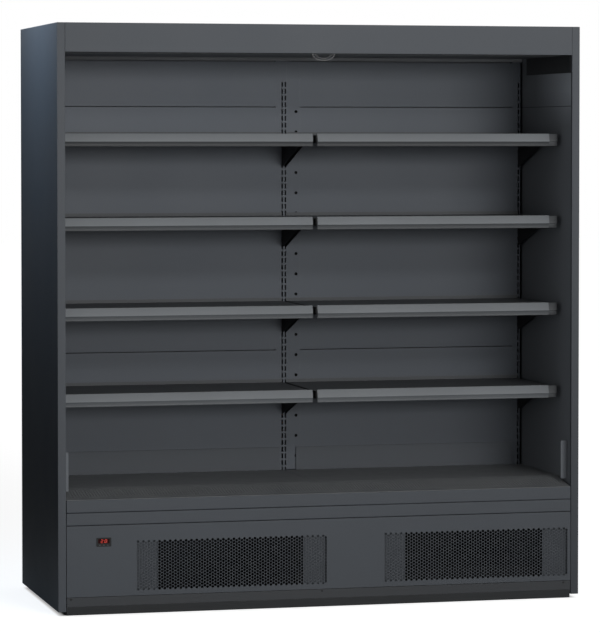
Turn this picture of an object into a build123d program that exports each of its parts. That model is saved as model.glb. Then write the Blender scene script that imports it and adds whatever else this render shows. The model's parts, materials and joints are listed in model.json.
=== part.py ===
"""Open multideck display fridge: self-contained cabinet with two shelf bays.

Millimetres. X runs to the right seen from the front, Y runs to the back and Z up.
The origin is on the floor, under the middle of the overall box.
"""
from build123d import *
import math
import os

# ---------------------------------------------------------------- overall sizes
width = 1900.0           # over the two end panels
depth = 770.0            # end panel, front to back
height = 2058.0          # floor to the top of the canopy
end_gap = 15.0           # end panels stop this far above the floor

# ---------------------------------------------------------------- sheet and walls
skin = 1.2               # outer sheet
liner = 1.0              # inner sheet
end_wall = 22.0          # end panel, outer face to inner liner face
flange_width = 28.0      # front flange of an end panel
flange_deep = 14.0       # return of that flange
rear_wall = 42.0         # rear insulated wall
roof_wall = 40.0         # roof insulated slab
front_gap = 0.5          # gap between the end flanges and the fascia
panel_gap = 2.0          # gap between the end flanges and the lower panels
seat_gap = 0.3           # between pieces that move past each other
seam = 1.5               # between neighbouring front panels
cut_over = 4.0           # cutting tools reach this far past a sheet

# ---------------------------------------------------------------- heights
fascia_drop = 101.5      # height of the canopy fascia
side_plate_drop = 64.0   # canopy side plate below the canopy underside
deck_top = 430.0         # goods surface of the bottom deck
rim_top = 404.0          # front edge of the return air grille
bumper_high = 43.5       # height of each bumper band
bumper_step = 44.5       # from one bumper band to the next
bumper_ease = 2.0
kick_top = 64.0
kick_split = 32.0        # kick plate above, floor skirt below
kick_clear = 1.5         # floor skirt above the floor
kick_lean = 9.0          # the skirt leans back by this much towards the floor
skirt_fold = 12.0        # return along its foot
screw_left = 15.0        # kick plate screws, from the plate's left and right ends
screw_right = 27.0
screw_middle = -5.0
screw_drop = 6.0         # screws below the kick plate's top
screw_head = 1.6
screw_head_r = 3.5
tray_under = 40.0        # underside of the base tray
tray_wall = 26.0         # height of the base tray's rim
tray_sheet = 2.0
tank_floor = 338.0       # floor of the cold tank
tank_foam = 30.0         # foam under the tank floor

# ---------------------------------------------------------------- interior, from the front plane
back_inset = 582.0       # front face of the back wall
shelf_inset = 115.0      # front of the price rails
deck_inset = 153.0       # front edge of the deck pans
flange_inset = 59.0      # front flange of the side upstands

# ---------------------------------------------------------------- back wall
panel_joints = (876.0, 1774.0, 1942.5)   # heights of the joints between back panels
joint_gap = 3.0
fold = 15.0              # returns folded behind the back panels
channel_deep = 30.0      # depth of the slotted uprights
channel_sheet = 2.0
slot_pitch = 25.0
slot_high = 18.0
slot_wide = 6.0
slot_first = 432.0       # centre of the lowest slot
slot_count = 58
slot_pair = 12.2         # between the two slot columns of the middle upright
slot_side = 24.0         # sheet beside a slot column, towards its bay
slot_edge = 4.0          # sheet beside a slot column, on its other side
end_slot_inset = 18.4    # slot column of a side upright, from the inner liner
strip_wide = 51.0        # cable strip beside the middle upright
strip_hole = 6.0         # diameter of its plug holes
strip_hole_x = 36.3      # plug holes, from the strip's left edge
strip_pitch = 75.0
strip_first = 482.0
strip_count = 18

# ---------------------------------------------------------------- riser and side upstands
riser_top = 515.0
riser_lead = 6.0         # riser stands this far in front of the back wall
riser_left_end = -16.0   # the risers leave the middle upright bare between these
riser_right_start = 45.0
upstand_front_top = 565.0
upstand_knee_inset = 135.0   # the sloping top starts this far behind the front plane
upstand_knee_top = 560.0
upstand_low = 428.0      # bottom of the upstand's front flange
upstand_inset = 2.0      # from the inner liner
upstand_flange = 23.0
upstand_ledge = 25.0     # ledge that carries the deck pans
ledge_drop = 13.0        # ledge below the deck surface
ledge_back = 6.0         # ledge starts this far behind the deck's front edge
stay_inset = 60.0        # wall stay, from both ends of the upstand
pan_gap = 0.5            # half the gap between the two deck pans
pan_front_clear = 12.0   # the pan's outer return stops this far before its front
rim_inset = 2.0          # front edge of the return air grille
grille_fold = 14.0
grille_rows = 2
grille_columns = 12
grille_border = 14.0
grille_bar_x = 22.0      # sheet left between two slots along the grille
grille_bar_y = 26.0

# ---------------------------------------------------------------- shelves
shelf_tops = (1675.0, 1379.0, 1063.0, 762.0)   # upper edge of the price rails
shelf_sheet = 1.2
shelf_below_rail = 6.0   # goods surface below the rail's upper edge
shelf_side_gap = 0.9     # between a shelf's end and the bracket plate beside it
shelf_front_drop = 38.0  # folded front of a shelf
shelf_rear_gap = 2.0
shelf_fold = 12.0        # upturned rear edge and return under the front
rail_high = 45.0
rail_inset = 1.0         # rail inside the inner end of its shelf
rail_band = 28.5         # upper band of the rail, the rest is its lip
rail_lean = 9.0          # the band leans back by this much
rail_wall = 2.0
rail_bead = 1.0          # fall of the rail's upper edge towards the shelf
lip_in = 4.0             # top of the lip, behind the band's lower edge
lip_foot = 3.0           # foot of the lip, behind the same edge
lip_step = 2.0           # top of the lip, below the band
cap_long = 32.0          # rounded cap at a rail's outer end
cap_rear = 2.0           # side of the cap behind its round
cap_drop = 1.0           # top of the cap below the rail's upper edge
cap_sag = 0.2            # middle of the round, as a share of its depth
cap_middle = 0.55        # the same point, as a share of the cap's length
bracket_sheet = 2.0
bracket_rear = 117.0     # bracket height at the wall
bracket_front = 26.0     # bracket height at its front
bracket_slope = 300.0    # length of the sloping lower edge
bracket_flange = 14.0    # top flange under the shelf
bracket_nose = 6.0       # chamfer of the front corner
hook_high = 13.0
hook_deep = 6.0
hook_slack = 3.0         # hook's top below the top of its slot
hook_seat = 5.0          # least height of the lower hook's slot above the plate's foot

# ---------------------------------------------------------------- canopy and night blind
fascia_return = 12.0     # lower return of the fascia and the hem behind it
fascia_hem = 9.0
underside_inset = 130.0  # front edge of the canopy underside
grid_deep = 52.0         # air outlet grid
grid_high = 20.0
grid_cells = 18
grid_bar = 4.0
side_plate_sheet = 4.0
side_plate_inset = 27.0
side_plate_long = 503.0
blind_inset = 48.0       # axis of the blind roll
blind_roll_r = 25.0
blind_tube_r = 15.0
tube_sides = 24
blind_pin_r = 4.0
blind_pin_clear = 0.05
roll_clear = 0.2         # cloth roll around the tube
blind_pin_long = 26.0    # pins beyond the ends of the tube
blind_half = 890.0       # half length of the bar and tube
bracket_start = 16.0     # end brackets start this far beyond the tube
bracket_half_deep = 20.0
bracket_below = 19.0     # end bracket below the roll's axis
roll_above_bar = 17.0    # roll's axis above the bar
web_sheet = 0.5
web_side = 10.0          # the web stops this far before the ends of the bar
bar_thick = 12.0
bar_high = 14.0
bar_ease = 3.0           # eased edges of the bar
bar_crest = 2.0          # half width of the bar's crest, where the cloth leaves it
bar_above_edge = 1.0     # underside of the bar above the fascia's lower edge
handle_wide = 84.0
handle_drop = 27.0
handle_x = 5.0
handle_rod = 4.0
handle_arm = 8.0         # straight drop at each end
handle_knee = 16.0       # corner of the bail, from its end
handle_rise = 3.0        # that corner above the lowest point
handle_flat = 8.0        # half length of the lowest stretch
handle_eye = 9.0         # eyes that meet the bar

# ---------------------------------------------------------------- service panel and controller
panel_fold = 18.5        # returns of the service panel and kick plate
panel_sheet = 1.5
window_low = 80.0
window_high = 260.0
window_left = (-595.0, -70.0)
window_right = (304.0, 819.0)
cell_across = 54.0       # perforation cell, across flats
cell_web = 10.0
controller_x = -789.5
controller_z = 255.2
controller_wide = 53.0
controller_high = 31.5
controller_deep = 60.0
controller_rim = 1.5     # bezel thickness in front of the panel
bezel_corner = 3.0
bezel_lap = 3.0          # bezel over the edge of its cut-out
body_lap = 3.2           # the same for the body behind it
display_side = 6.0       # bezel beside the display
display_ends = 8.0       # bezel above and below it
display_up = 3.5         # display above the controller's centre
display_thick = 0.8
key_wide = 9.0
key_high = 4.0
key_proud = 0.9          # keys in front of the bezel
key_travel = 0.8
key_pitch = 14.0
key_drop = 10.5          # key row below the controller's centre
key_clear = 0.25
key_deep = 1.4           # keys behind the bezel's face
pocket_deep = 3.2

# ---------------------------------------------------------------- feet
foot_x = 820.0
foot_inset = 80.0        # from the front plane and from the rear
foot_pad_r = 26.0
foot_pad_high = 9.0
nut_r = 11.0
nut_high = 10.0
stud_r = 6.0
stud_sides = 8
stud_clear = 0.06
boss_r = 13.0
boss_high = 34.0

# ---------------------------------------------------------------- machinery
condenser_deep = 60.0
condenser_inset = 62.0
condenser_side = 12.0    # coil inside the ends of its window
condenser_top_gap = 20.0 # coil and shroud below the tank's foam
condenser_groove = 12.0
condenser_fan_r = 96.0
condenser_hub_r = 30.0
condenser_blade_high = 24.0
shroud_sheet = 2.0
collar_deep = 40.0
arm_thick = 4.0          # motor arm across the shroud's collar
arm_half = 12.0
fan_motor_r = 34.0
fan_motor_long = 40.0
fan_tip_gap = 5.0
fan_sides = 24           # fan openings and motors have this many sides
fan_blades = 5
blade_pitch = 28.0       # degrees
blade_sheet = 2.0
blade_chord = 0.6        # share of the fan's radius
hub_sides = 15
fan_shaft_r = 4.0
fan_shaft_clear = 0.05
compressor_aside = 40.0  # compressor's axis, left of the fan's
compressor_back = 250.0  # and behind the shroud
compressor_lift = 32.0   # can above the floor of the tray
compressor_feet = 25.0
compressor_r = 92.0
compressor_high = 190.0
evaporator_half = 860.0
evaporator_deep = 100.0
evaporator_low = 470.0
evaporator_high = 290.0
evaporator_front = 8.0   # coil behind the slotted uprights
evaporator_plate = 2.0   # end plates of the coil
evaporator_groove = 14.0
cold_fan_r = 66.0
cold_hub_r = 20.0
cold_blade_high = 14.0
cold_fan_x = 430.0
cold_fan_inset = 330.0   # fan centre, from the front plane
cold_fan_lift = 36.0     # fan centre above the tank floor
cold_fan_tilt = 24.0     # fan plate slope, degrees
fan_plate_run = 74.0     # half length of the plate along its slope
fan_plate_side = 60.0    # plate inside the liners
cold_motor_r = 17.0
cold_motor_high = 6.0
cold_bar_half = 8.0      # bar that carries a motor under its opening
cold_bar_drop = 13.0
fin_pitch = 110.0        # visible fin grooves of the coils
pipe_r = 6.0
pipe_sides = 6
pipe_bend = 30.0
pipe_out = 90.0          # discharge line, from the compressor to its corner
pipe_back = 120.0        # suction line, the same way
pipe_wall_gap = 14.0     # suction line in front of the rear liner
water_tray = (120.0, 420.0)  # condensate tray, from the front plane
water_tray_high = 70.0
box_deep = 130.0         # electrical box on the rear panel
box_side = 100.0         # box inside the ends of the right window
box_low = 60.0           # box above the floor of the tray
box_high = 220.0

# ---------------------------------------------------------------- derived places
half = width / 2
front_proud = controller_rim + key_proud
y_front = (front_proud - depth) / 2
y_rear = y_front + depth
y_back = y_front + back_inset
x_liner = half - end_wall
x_flange = half - flange_width
z_fascia = height - fascia_drop
z_canopy = z_fascia + skin
z_roof = height - roof_wall
z_machine = tray_under + tray_sheet
y_duct = y_rear - rear_wall
x_panel = x_flange - panel_gap
y_tank = y_front + panel_fold + flange_deep
middle_slots = (-slot_pair / 2, slot_pair / 2)
side_slot = x_liner - end_slot_inset
upright_half_inner = slot_pair / 2 + slot_side
strip_left = slot_pair / 2 + slot_edge
strip_right = strip_left + strip_wide
side_upright_inner = side_slot - slot_side - slot_wide / 10
x_upstand = x_liner - upstand_inset
x_shelf_start = slot_pair / 2 + bracket_sheet / 2 + shelf_side_gap
x_shelf_end = side_slot - bracket_sheet / 2 - shelf_side_gap
y_shelf_front = y_front + shelf_inset + rail_lean + rail_wall
z_bumper_low = rim_top - seam - bumper_high - bumper_step
parts = {}


# ---------------------------------------------------------------- helpers
def slab(x, y, z):
    """Box between the two ends of each (low, high) pair."""
    size = [high - low for low, high in (x, y, z)]
    centre = [(low + high) / 2 for low, high in (x, y, z)]
    return Pos(*centre) * Box(*size)


def along_x(outline, x_from, x_to):
    """Solid with this (y, z) outline between two x places."""
    face = make_face(Polyline(*[(x_from, y, z) for y, z in outline], close=True))
    return extrude(face, amount=x_to - x_from, dir=(1, 0, 0))


def along_z(outline, z_from, z_to):
    """Solid with this (x, y) outline between two heights."""
    face = make_face(Polyline(*[(x, y, z_from) for x, y in outline], close=True))
    return extrude(face, amount=z_to - z_from, dir=(0, 0, 1))


def along_y(outline, y_from, y_to):
    """Solid with this (x, z) outline between two depths."""
    face = make_face(Polyline(*[(x, y_from, z) for x, z in outline], close=True))
    return extrude(face, amount=y_to - y_from, dir=(0, 1, 0))


def folded(path, thickness):
    """Outline of a sheet bent along a path, with its thickness on the path's left."""
    count = len(path)
    normals = []
    for (ax, ay), (bx, by) in zip(path, path[1:]):
        length = math.hypot(bx - ax, by - ay)
        normals.append((-(by - ay) / length, (bx - ax) / length))
    other = []
    for i in range(count):
        before = normals[max(i - 1, 0)]
        after = normals[min(i, count - 2)]
        share = thickness / (1 + before[0] * after[0] + before[1] * after[1])
        other.append((path[i][0] + (before[0] + after[0]) * share,
                      path[i][1] + (before[1] + after[1]) * share))
    return list(path) + other[::-1]


def mirrored(solid):
    """The same piece for the other side of the cabinet."""
    return mirror(solid, about=Plane.YZ)


def rod(axis_from, axis_to, radius, sides=0):
    """Rod between two points, round or with this many sides."""
    start, end = Vector(*axis_from), Vector(*axis_to)
    way = end - start
    plane = Plane(origin=start, z_dir=way)
    if sides:
        return plane * extrude(RegularPolygon(radius, sides), way.length)
    return plane * Cylinder(radius, way.length, align=(Align.CENTER, Align.CENTER, Align.MIN))


def keep(name, *solids):
    """Store one node: one solid, or a group of separate ones."""
    parts[name] = solids[0] if len(solids) == 1 else Compound(children=list(solids))


# ---------------------------------------------------------------- insulated shell
def end_panel_skin():
    """Right outer skin: a folded sheet with a front flange, closed at its top and foot."""
    path = [(x_liner, y_rear), (half, y_rear), (half, y_front),
            (x_flange, y_front), (x_flange, y_front + flange_deep)]
    sheet = along_z(folded(path[::-1], skin), end_gap, height)
    lid = [(x_liner, y_rear), (half, y_rear), (half, y_front), (x_flange, y_front),
           (x_flange, y_front + flange_deep), (x_liner, y_front + flange_deep)]
    top = along_z(lid, height - skin, height)
    foot = along_z(lid, end_gap, end_gap + skin)
    return sheet + top + foot


def shell():
    right = end_panel_skin()
    keep("end_panel_right", right)
    keep("end_panel_left", mirrored(right))
    z_low, z_high, z_foot = end_gap + skin, height - skin, tank_floor - tank_foam
    across = (-x_liner, x_liner)
    inner_y = (y_front + flange_deep, y_rear - skin)
    roof_y = (y_front + flange_deep, y_duct + liner)
    end_liner = slab((x_liner, x_liner + liner), inner_y, (z_low, z_high))
    end_foam = slab((x_liner + liner, half - skin), inner_y, (z_low, z_high))
    rear_liner = slab(across, (y_duct, y_duct + liner), (z_foot, z_roof))
    rear_foam = slab(across, (y_duct + liner, y_rear - skin), (z_foot, z_high))
    roof_liner = slab(across, roof_y, (z_roof, z_roof + liner))
    roof_foam = slab(across, roof_y, (z_roof + liner, z_high))
    floor_foam = slab(across, (y_tank + liner, y_duct), (z_foot, tank_floor - liner))
    keep("inner_liners", end_liner, mirrored(end_liner), rear_liner, roof_liner)
    keep("foam_insulation", end_foam, mirrored(end_foam), rear_foam, roof_foam, floor_foam)
    keep("rear_panel", slab(across, (y_rear - skin, y_rear), (tray_under, z_high)))
    keep("roof_panel", slab(across, (y_front + flange_deep, y_rear), (z_high, height)))


def canopy():
    half_long = x_flange - front_gap
    y_hem = y_front + fascia_return
    path = [(y_front + flange_deep, height), (y_front, height), (y_front, z_fascia),
            (y_hem, z_fascia), (y_hem, z_fascia + fascia_hem)]
    keep("canopy_fascia", along_x(folded(path, skin), -half_long, half_long))
    y_plate = y_front + side_plate_inset
    x_in = x_liner - side_plate_sheet
    plate = slab((x_in, x_liner), (y_plate, y_plate + side_plate_long),
                 (z_canopy - side_plate_drop, z_canopy + grid_high))
    keep("canopy_side_plates", plate, mirrored(plate))
    y_fold = y_back - liner
    path = [(y_front + underside_inset, z_canopy), (y_fold, z_canopy),
            (y_fold, panel_joints[-1] + joint_gap / 2)]
    keep("canopy_underside", along_x(folded(path, -liner), -x_in, x_in))
    keep("air_outlet_grid", air_grid(x_in))


def air_grid(x_in):
    """Outlet of the air curtain: one row of cells across the canopy."""
    y_low = y_front + underside_inset - grid_deep
    body = slab((-x_in, x_in), (y_low, y_low + grid_deep), (z_canopy, z_canopy + grid_high))
    pitch = (2 * x_in - grid_bar) / grid_cells
    cells = [Pos(-x_in + grid_bar / 2 + pitch * (i + 0.5), y_low + grid_deep / 2, z_canopy + grid_high / 2)
             * Box(pitch - grid_bar, grid_deep - 2 * grid_bar, 2 * grid_high) for i in range(grid_cells)]
    return body - cells


# ---------------------------------------------------------------- night blind
def night_blind():
    y_axis = y_front + blind_inset
    bar_low = z_fascia + bar_above_edge
    bar_top = bar_low + bar_high
    z_axis = bar_top + roll_above_bar
    pin_end = blind_half + blind_pin_long
    tube = rod((-blind_half, y_axis, z_axis), (blind_half, y_axis, z_axis), blind_tube_r, tube_sides)
    pins = rod((-pin_end, y_axis, z_axis), (pin_end, y_axis, z_axis), blind_pin_r)
    keep("blind_tube", tube + pins)
    web_half = blind_half - web_side
    roll = rod((-web_half, y_axis, z_axis), (web_half, y_axis, z_axis), blind_roll_r)
    bore = rod((-half, y_axis, z_axis), (half, y_axis, z_axis), blind_tube_r + roll_clear)
    keep("blind_roll", roll - bore)
    block = slab((blind_half + bracket_start, x_liner - side_plate_sheet),
                 (y_axis - bracket_half_deep, y_axis + bracket_half_deep), (z_axis - bracket_below, z_roof))
    hole = rod((blind_half, y_axis, z_axis), (pin_end + cut_over, y_axis, z_axis),
               blind_pin_r + blind_pin_clear)
    bracket = block - hole
    keep("blind_brackets", bracket, mirrored(bracket))
    y_bar = y_axis - blind_roll_r - seat_gap - web_sheet / 2
    keep("blind_bar", along_x(bar_section(y_bar, bar_low), -blind_half, blind_half))
    keep("blind_web", slab((-web_half, web_half), (y_bar - web_sheet / 2, y_bar + web_sheet / 2),
                           (bar_top, z_axis)))
    keep("blind_handle", pull_handle(y_bar, bar_low))


def bar_section(y_bar, bar_low):
    """Outline of the blind's bar: eased below, and narrowing to a crest that holds the cloth."""
    reach, bar_top = bar_thick / 2, bar_low + bar_high
    rear = [(y_bar + reach - bar_ease, bar_low), (y_bar + reach, bar_low + bar_ease),
            (y_bar + reach, bar_top - bar_ease), (y_bar + bar_crest, bar_top)]
    front = [(2 * y_bar - y, z) for y, z in rear[::-1]]
    return rear + front


def pull_handle(y_bar, bar_low):
    """Shallow bail under the middle of the bar, with two eyes that meet it."""
    end, z_low = handle_wide / 2, bar_low - handle_drop
    left = [(-end, bar_low), (-end, bar_low - handle_arm), (-end + handle_knee, z_low + handle_rise),
            (-handle_flat, z_low)]
    right = [(-x, z) for x, z in left[::-1]]
    y = (y_bar - handle_rod / 2, y_bar + handle_rod / 2)
    bail = along_y(folded(left + right, handle_rod), *y)
    for x in (-end, end - handle_eye):
        bail += slab((x, x + handle_eye), y, (bar_low - handle_arm / 2, bar_low))
    return Pos(handle_x, 0, 0) * bail


# ---------------------------------------------------------------- back wall
def slot_column(x):
    """Tools that cut one column of slots through an upright's face."""
    return [Pos(x, y_back, slot_first + i * slot_pitch) * Box(slot_wide, 4 * channel_sheet, slot_high)
            for i in range(slot_count)]


def upright(x_low, x_high, slot_xs):
    """Slotted channel that carries the shelf brackets."""
    y_end = y_back + channel_deep
    path = [(x_low, y_end), (x_low, y_back), (x_high, y_back), (x_high, y_end)]
    channel = along_z(folded(path, channel_sheet), tank_floor, z_roof)
    for x in slot_xs:
        channel -= slot_column(x)
    return channel


def back_wall():
    keep("upright_middle", upright(-upright_half_inner, strip_left, middle_slots))
    right = upright(side_upright_inner, side_slot + slot_edge + slot_wide / 2, (side_slot,))
    keep("side_uprights", mirrored(right), right)
    low = slot_first
    edges = [low] + list(panel_joints)
    bays = ((-side_upright_inner, -upright_half_inner), (strip_right, side_upright_inner))
    panels = []
    for bottom, top in zip(edges, edges[1:]):
        for x_low, x_high in bays:
            z_low = bottom + (joint_gap / 2 if bottom != low else 0)
            path = [(y_back + fold, z_low), (y_back, z_low), (y_back, top - joint_gap / 2),
                    (y_back + fold, top - joint_gap / 2)]
            panels.append(along_x(folded(path[::-1], liner), x_low, x_high))
    keep("back_panels", *panels)
    strip_path = [(strip_left, y_back + fold), (strip_left, y_back),
                  (strip_right, y_back), (strip_right, y_back + fold)]
    strip = along_z(folded(strip_path, liner), low, panel_joints[-1] - joint_gap / 2)
    holes = [Pos(strip_left + strip_hole_x, y_back, strip_first + i * strip_pitch)
             * Rot(90, 0, 0) * extrude(RegularPolygon(strip_hole / 2, 5), cut_over, both=True)
             for i in range(strip_count)]
    keep("cable_strip", strip - holes)
    y_riser = y_back - riser_lead
    path = [(y_back, riser_top), (y_riser, riser_top), (y_riser, deck_top + seat_gap)]
    spans = ((-side_upright_inner, riser_left_end), (riser_right_start, side_upright_inner))
    keep("back_risers", *[along_x(folded(path, liner), *span) for span in spans])


# ---------------------------------------------------------------- shelves
def slot_under(z):
    """Centre of the highest slot whose hook stays below this height."""
    steps = math.floor((z - hook_high - slot_first) / slot_pitch)
    return slot_first + steps * slot_pitch


def slot_over(z):
    """Centre of the lowest slot at or above this height."""
    steps = math.ceil((z - slot_first) / slot_pitch)
    return slot_first + steps * slot_pitch


def hook(y_wall, centre):
    """Outline of one hook, from its root on the plate's rear edge down to that edge again."""
    y_hook, y_catch = y_back + hook_deep, y_back + channel_sheet + seat_gap
    z_top, z_throat, z_tip = centre + slot_high / 2 - hook_slack, centre - hook_high / 2, centre - hook_high
    return [(y_wall, z_top), (y_hook, z_top), (y_hook, z_tip), (y_catch, z_tip), (y_catch, z_throat),
            (y_wall, z_throat)]


def bracket(slot_x, side, z_seat):
    """Gusset plate with two hooks; side is the way from the plate to its shelf."""
    y_end = y_shelf_front + shelf_sheet + seat_gap
    y_knee = y_back - bracket_slope
    y_wall = y_back - seat_gap
    z_front, z_foot = z_seat - bracket_front, z_seat - bracket_rear
    outline = [(y_end, z_front + bracket_nose), (y_end, z_seat), (y_wall, z_seat)]
    for centre in (slot_under(z_seat), slot_over(z_foot + hook_seat)):
        outline += hook(y_wall, centre)
    outline += [(y_wall, z_foot), (y_knee, z_front), (y_end + bracket_nose, z_front)]
    plate = along_x(outline, slot_x - bracket_sheet / 2, slot_x + bracket_sheet / 2)
    near, far = sorted((slot_x, slot_x + side * (bracket_flange + bracket_sheet / 2)))
    return plate + slab((near, far), (y_end, y_wall - hook_deep), (z_seat - shelf_sheet, z_seat))


def shelf(x_low, x_high, z_top):
    """Sheet shelf with a folded front and an upturned rear edge."""
    y_low, y_high = y_shelf_front, y_back - shelf_rear_gap
    z_low = z_top - shelf_front_drop
    path = [(y_high, z_top + shelf_fold), (y_high, z_top), (y_low, z_top), (y_low, z_low),
            (y_low + shelf_fold, z_low)]
    return along_x(folded(path, shelf_sheet), x_low, x_high)


def price_rail(x_low, x_high, z_rail):
    """Ticket rail: a leaning band over a set-back lip, hooked on the shelf's front."""
    y, y_fix = y_front + shelf_inset, y_shelf_front
    z_band, z_foot = z_rail - rail_band, z_rail - rail_high
    outer = [(y_fix, z_rail - rail_bead), (y_fix - rail_wall, z_rail), (y, z_band),
             (y + lip_in, z_band - lip_step), (y + lip_foot, z_foot), (y_fix, z_foot)]
    inner = [(y_fix, z_foot + rail_wall), (y + lip_foot + rail_wall, z_foot + rail_wall),
             (y + lip_in + rail_wall, z_band - lip_step / 2), (y_fix, z_band + rail_wall)]
    return along_x(outer + inner, x_low, x_high)


def end_cap(z_rail):
    """Moulded cap that rounds off the right end of a rail."""
    x_low, x_high = x_shelf_end - cap_long, x_shelf_end
    y_low, y_side = y_front + shelf_inset, y_shelf_front - cap_rear
    z = z_rail - rail_high
    middle = (x_low + cap_middle * cap_long, y_low + cap_sag * (y_side - y_low), z)
    edge = [Line((x_low, y_shelf_front, z), (x_low, y_low, z)),
            ThreePointArc((x_low, y_low, z), middle, (x_high, y_side, z)),
            Polyline((x_high, y_side, z), (x_high, y_shelf_front, z), (x_low, y_shelf_front, z))]
    return extrude(make_face(Curve(edge)), amount=rail_high - cap_drop, dir=(0, 0, 1))


def shelves():
    brackets, rails, caps = [], [], []
    for row, z_rail in enumerate(shelf_tops, start=1):
        z_top = z_rail - shelf_below_rail
        right = shelf(x_shelf_start, x_shelf_end, z_top)
        keep(f"shelves_row_{row}", mirrored(right), right)
        seat = z_top - shelf_sheet
        ends = ((-side_slot, 1), (middle_slots[0], -1), (middle_slots[1], 1), (side_slot, -1))
        brackets += [bracket(x, side, seat) for x, side in ends]
        rail = price_rail(x_shelf_start + rail_inset, x_shelf_end - cap_long, z_rail)
        rails += [mirrored(rail), rail]
        cap = end_cap(z_rail)
        caps += [mirrored(cap), cap]
    keep("shelf_brackets", *brackets)
    keep("price_rails", *rails)
    keep("rail_end_caps", *caps)


# ---------------------------------------------------------------- deck
def side_upstand():
    """Right side upstand with a sloping top, a front flange and a ledge for the deck pan."""
    y_low, y_high = y_front + flange_inset, y_back - riser_lead - seat_gap
    y_ledge, z_ledge = y_front + deck_inset + ledge_back, deck_top - ledge_drop
    outline = [(y_low, upstand_low), (y_low, upstand_front_top),
               (y_front + upstand_knee_inset, upstand_knee_top), (y_high, riser_top),
               (y_high, z_ledge), (y_ledge, z_ledge), (y_ledge, upstand_low)]
    sheet = along_x(outline, x_upstand - skin, x_upstand)
    flange = slab((x_upstand - upstand_flange, x_upstand), (y_low, y_low + skin),
                  (upstand_low, upstand_front_top))
    ledge = slab((x_upstand - upstand_ledge, x_upstand), (y_ledge, y_high), (z_ledge - skin, z_ledge))
    stay = slab((x_upstand - skin, x_liner), (y_low + stay_inset, y_high - stay_inset),
                (z_ledge - skin, z_ledge))
    return sheet + flange + ledge + stay


def deck():
    upstand = side_upstand()
    keep("side_upstands", mirrored(upstand), upstand)
    y_low, y_high = y_front + deck_inset, y_back - riser_lead - seat_gap
    z_low = deck_top - ledge_drop
    path = [(y_low, z_low), (y_low, deck_top), (y_high, deck_top), (y_high, z_low)]
    x_end = x_upstand - skin - seat_gap
    pan = along_x(folded(path[::-1], skin), pan_gap, x_end)
    pan += slab((x_end - skin, x_end), (y_low + pan_front_clear, y_high), (z_low, deck_top))
    pan += slab((pan_gap, pan_gap + skin), (y_low, y_high), (z_low, deck_top))
    keep("deck_pans", mirrored(pan), pan)
    keep("return_air_grille", return_grille())


def return_grille():
    """Sloping grille between the front rim and the deck, with two rows of slots."""
    y_low, y_high = y_front + rim_inset, y_front + deck_inset - seat_gap
    path = [(y_low, rim_top - panel_sheet + seat_gap), (y_low, rim_top), (y_high, deck_top),
            (y_high, deck_top - grille_fold)]
    grille = along_x(folded(path[::-1], panel_sheet), -x_panel, x_panel)
    pitch_x = 2 * x_panel / grille_columns
    pitch_y = (y_high - y_low - 2 * grille_border) / grille_rows
    x_start, y_start = (pitch_x - 2 * x_panel) / 2, y_low + grille_border + pitch_y / 2
    slot = Box(pitch_x - grille_bar_x, pitch_y - grille_bar_y, 4 * (deck_top - rim_top))
    return grille - [Pos(x_start + pitch_x * i, y_start + pitch_y * j, deck_top) * slot
                     for i in range(grille_columns) for j in range(grille_rows)]


# ---------------------------------------------------------------- tank, bumpers and base
def tank():
    """Cold tank: front wall and floor, between the end liners and the rear liner."""
    wall = slab((-x_liner, x_liner), (y_tank, y_tank + liner),
                (tank_floor - tank_foam, rim_top - rim_inset))
    floor = slab((-x_liner, x_liner), (y_tank, y_duct), (tank_floor - liner, tank_floor))
    return wall + floor


def bumper(z_low):
    """Bumper band: a folded sheet with eased edges."""
    z_high, y_eased = z_low + bumper_high, y_front + bumper_ease
    path = [(y_tank, z_high), (y_eased, z_high), (y_front, z_high - bumper_ease),
            (y_front, z_low + bumper_ease), (y_eased, z_low), (y_tank, z_low)]
    return along_x(folded(path, panel_sheet), -x_panel, x_panel)


def base():
    keep("tank_shell", tank())
    keep("bumper_upper", bumper(z_bumper_low + bumper_step))
    keep("bumper_lower", bumper(z_bumper_low))
    y_low, y_high = y_front + panel_fold + panel_sheet, y_rear - skin
    x_in = x_liner - tray_sheet
    tray = slab((-x_liner, x_liner), (y_low, y_high), (tray_under, tray_under + tray_wall))
    tray -= slab((-x_in, x_in), (y_low + tray_sheet, y_high - tray_sheet),
                 (tray_under + tray_sheet, tray_under + tray_wall + cut_over))
    feet = foot_places()
    boss = extrude(RegularPolygon(boss_r, 6), boss_high)
    bore = extrude(RegularPolygon(stud_r + stud_clear, stud_sides), boss_high + 2 * cut_over)
    for x, y in feet:
        tray += Pos(x, y, tray_under) * boss
        tray -= Pos(x, y, tray_under - cut_over) * bore
    keep("base_tray", tray)
    keep("levelling_feet", *[foot(x, y) for x, y in feet])


def foot_places():
    """Plan position of each levelling foot."""
    near, far = y_front + foot_inset, y_rear - foot_inset
    return [(x, y) for x in (-foot_x, foot_x) for y in (near, far)]


def foot(x, y):
    """Levelling foot: hexagon pad, stud and lock nut turned up under the tray."""
    pad = Pos(x, y, 0) * extrude(RegularPolygon(foot_pad_r, 6), foot_pad_high)
    stud_high = tray_under + boss_high - foot_pad_high
    stud = Pos(x, y, foot_pad_high) * extrude(RegularPolygon(stud_r, stud_sides), stud_high)
    nut = Pos(x, y, tray_under - nut_high - seat_gap) * extrude(RegularPolygon(nut_r, 6), nut_high)
    return pad + stud + nut


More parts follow.
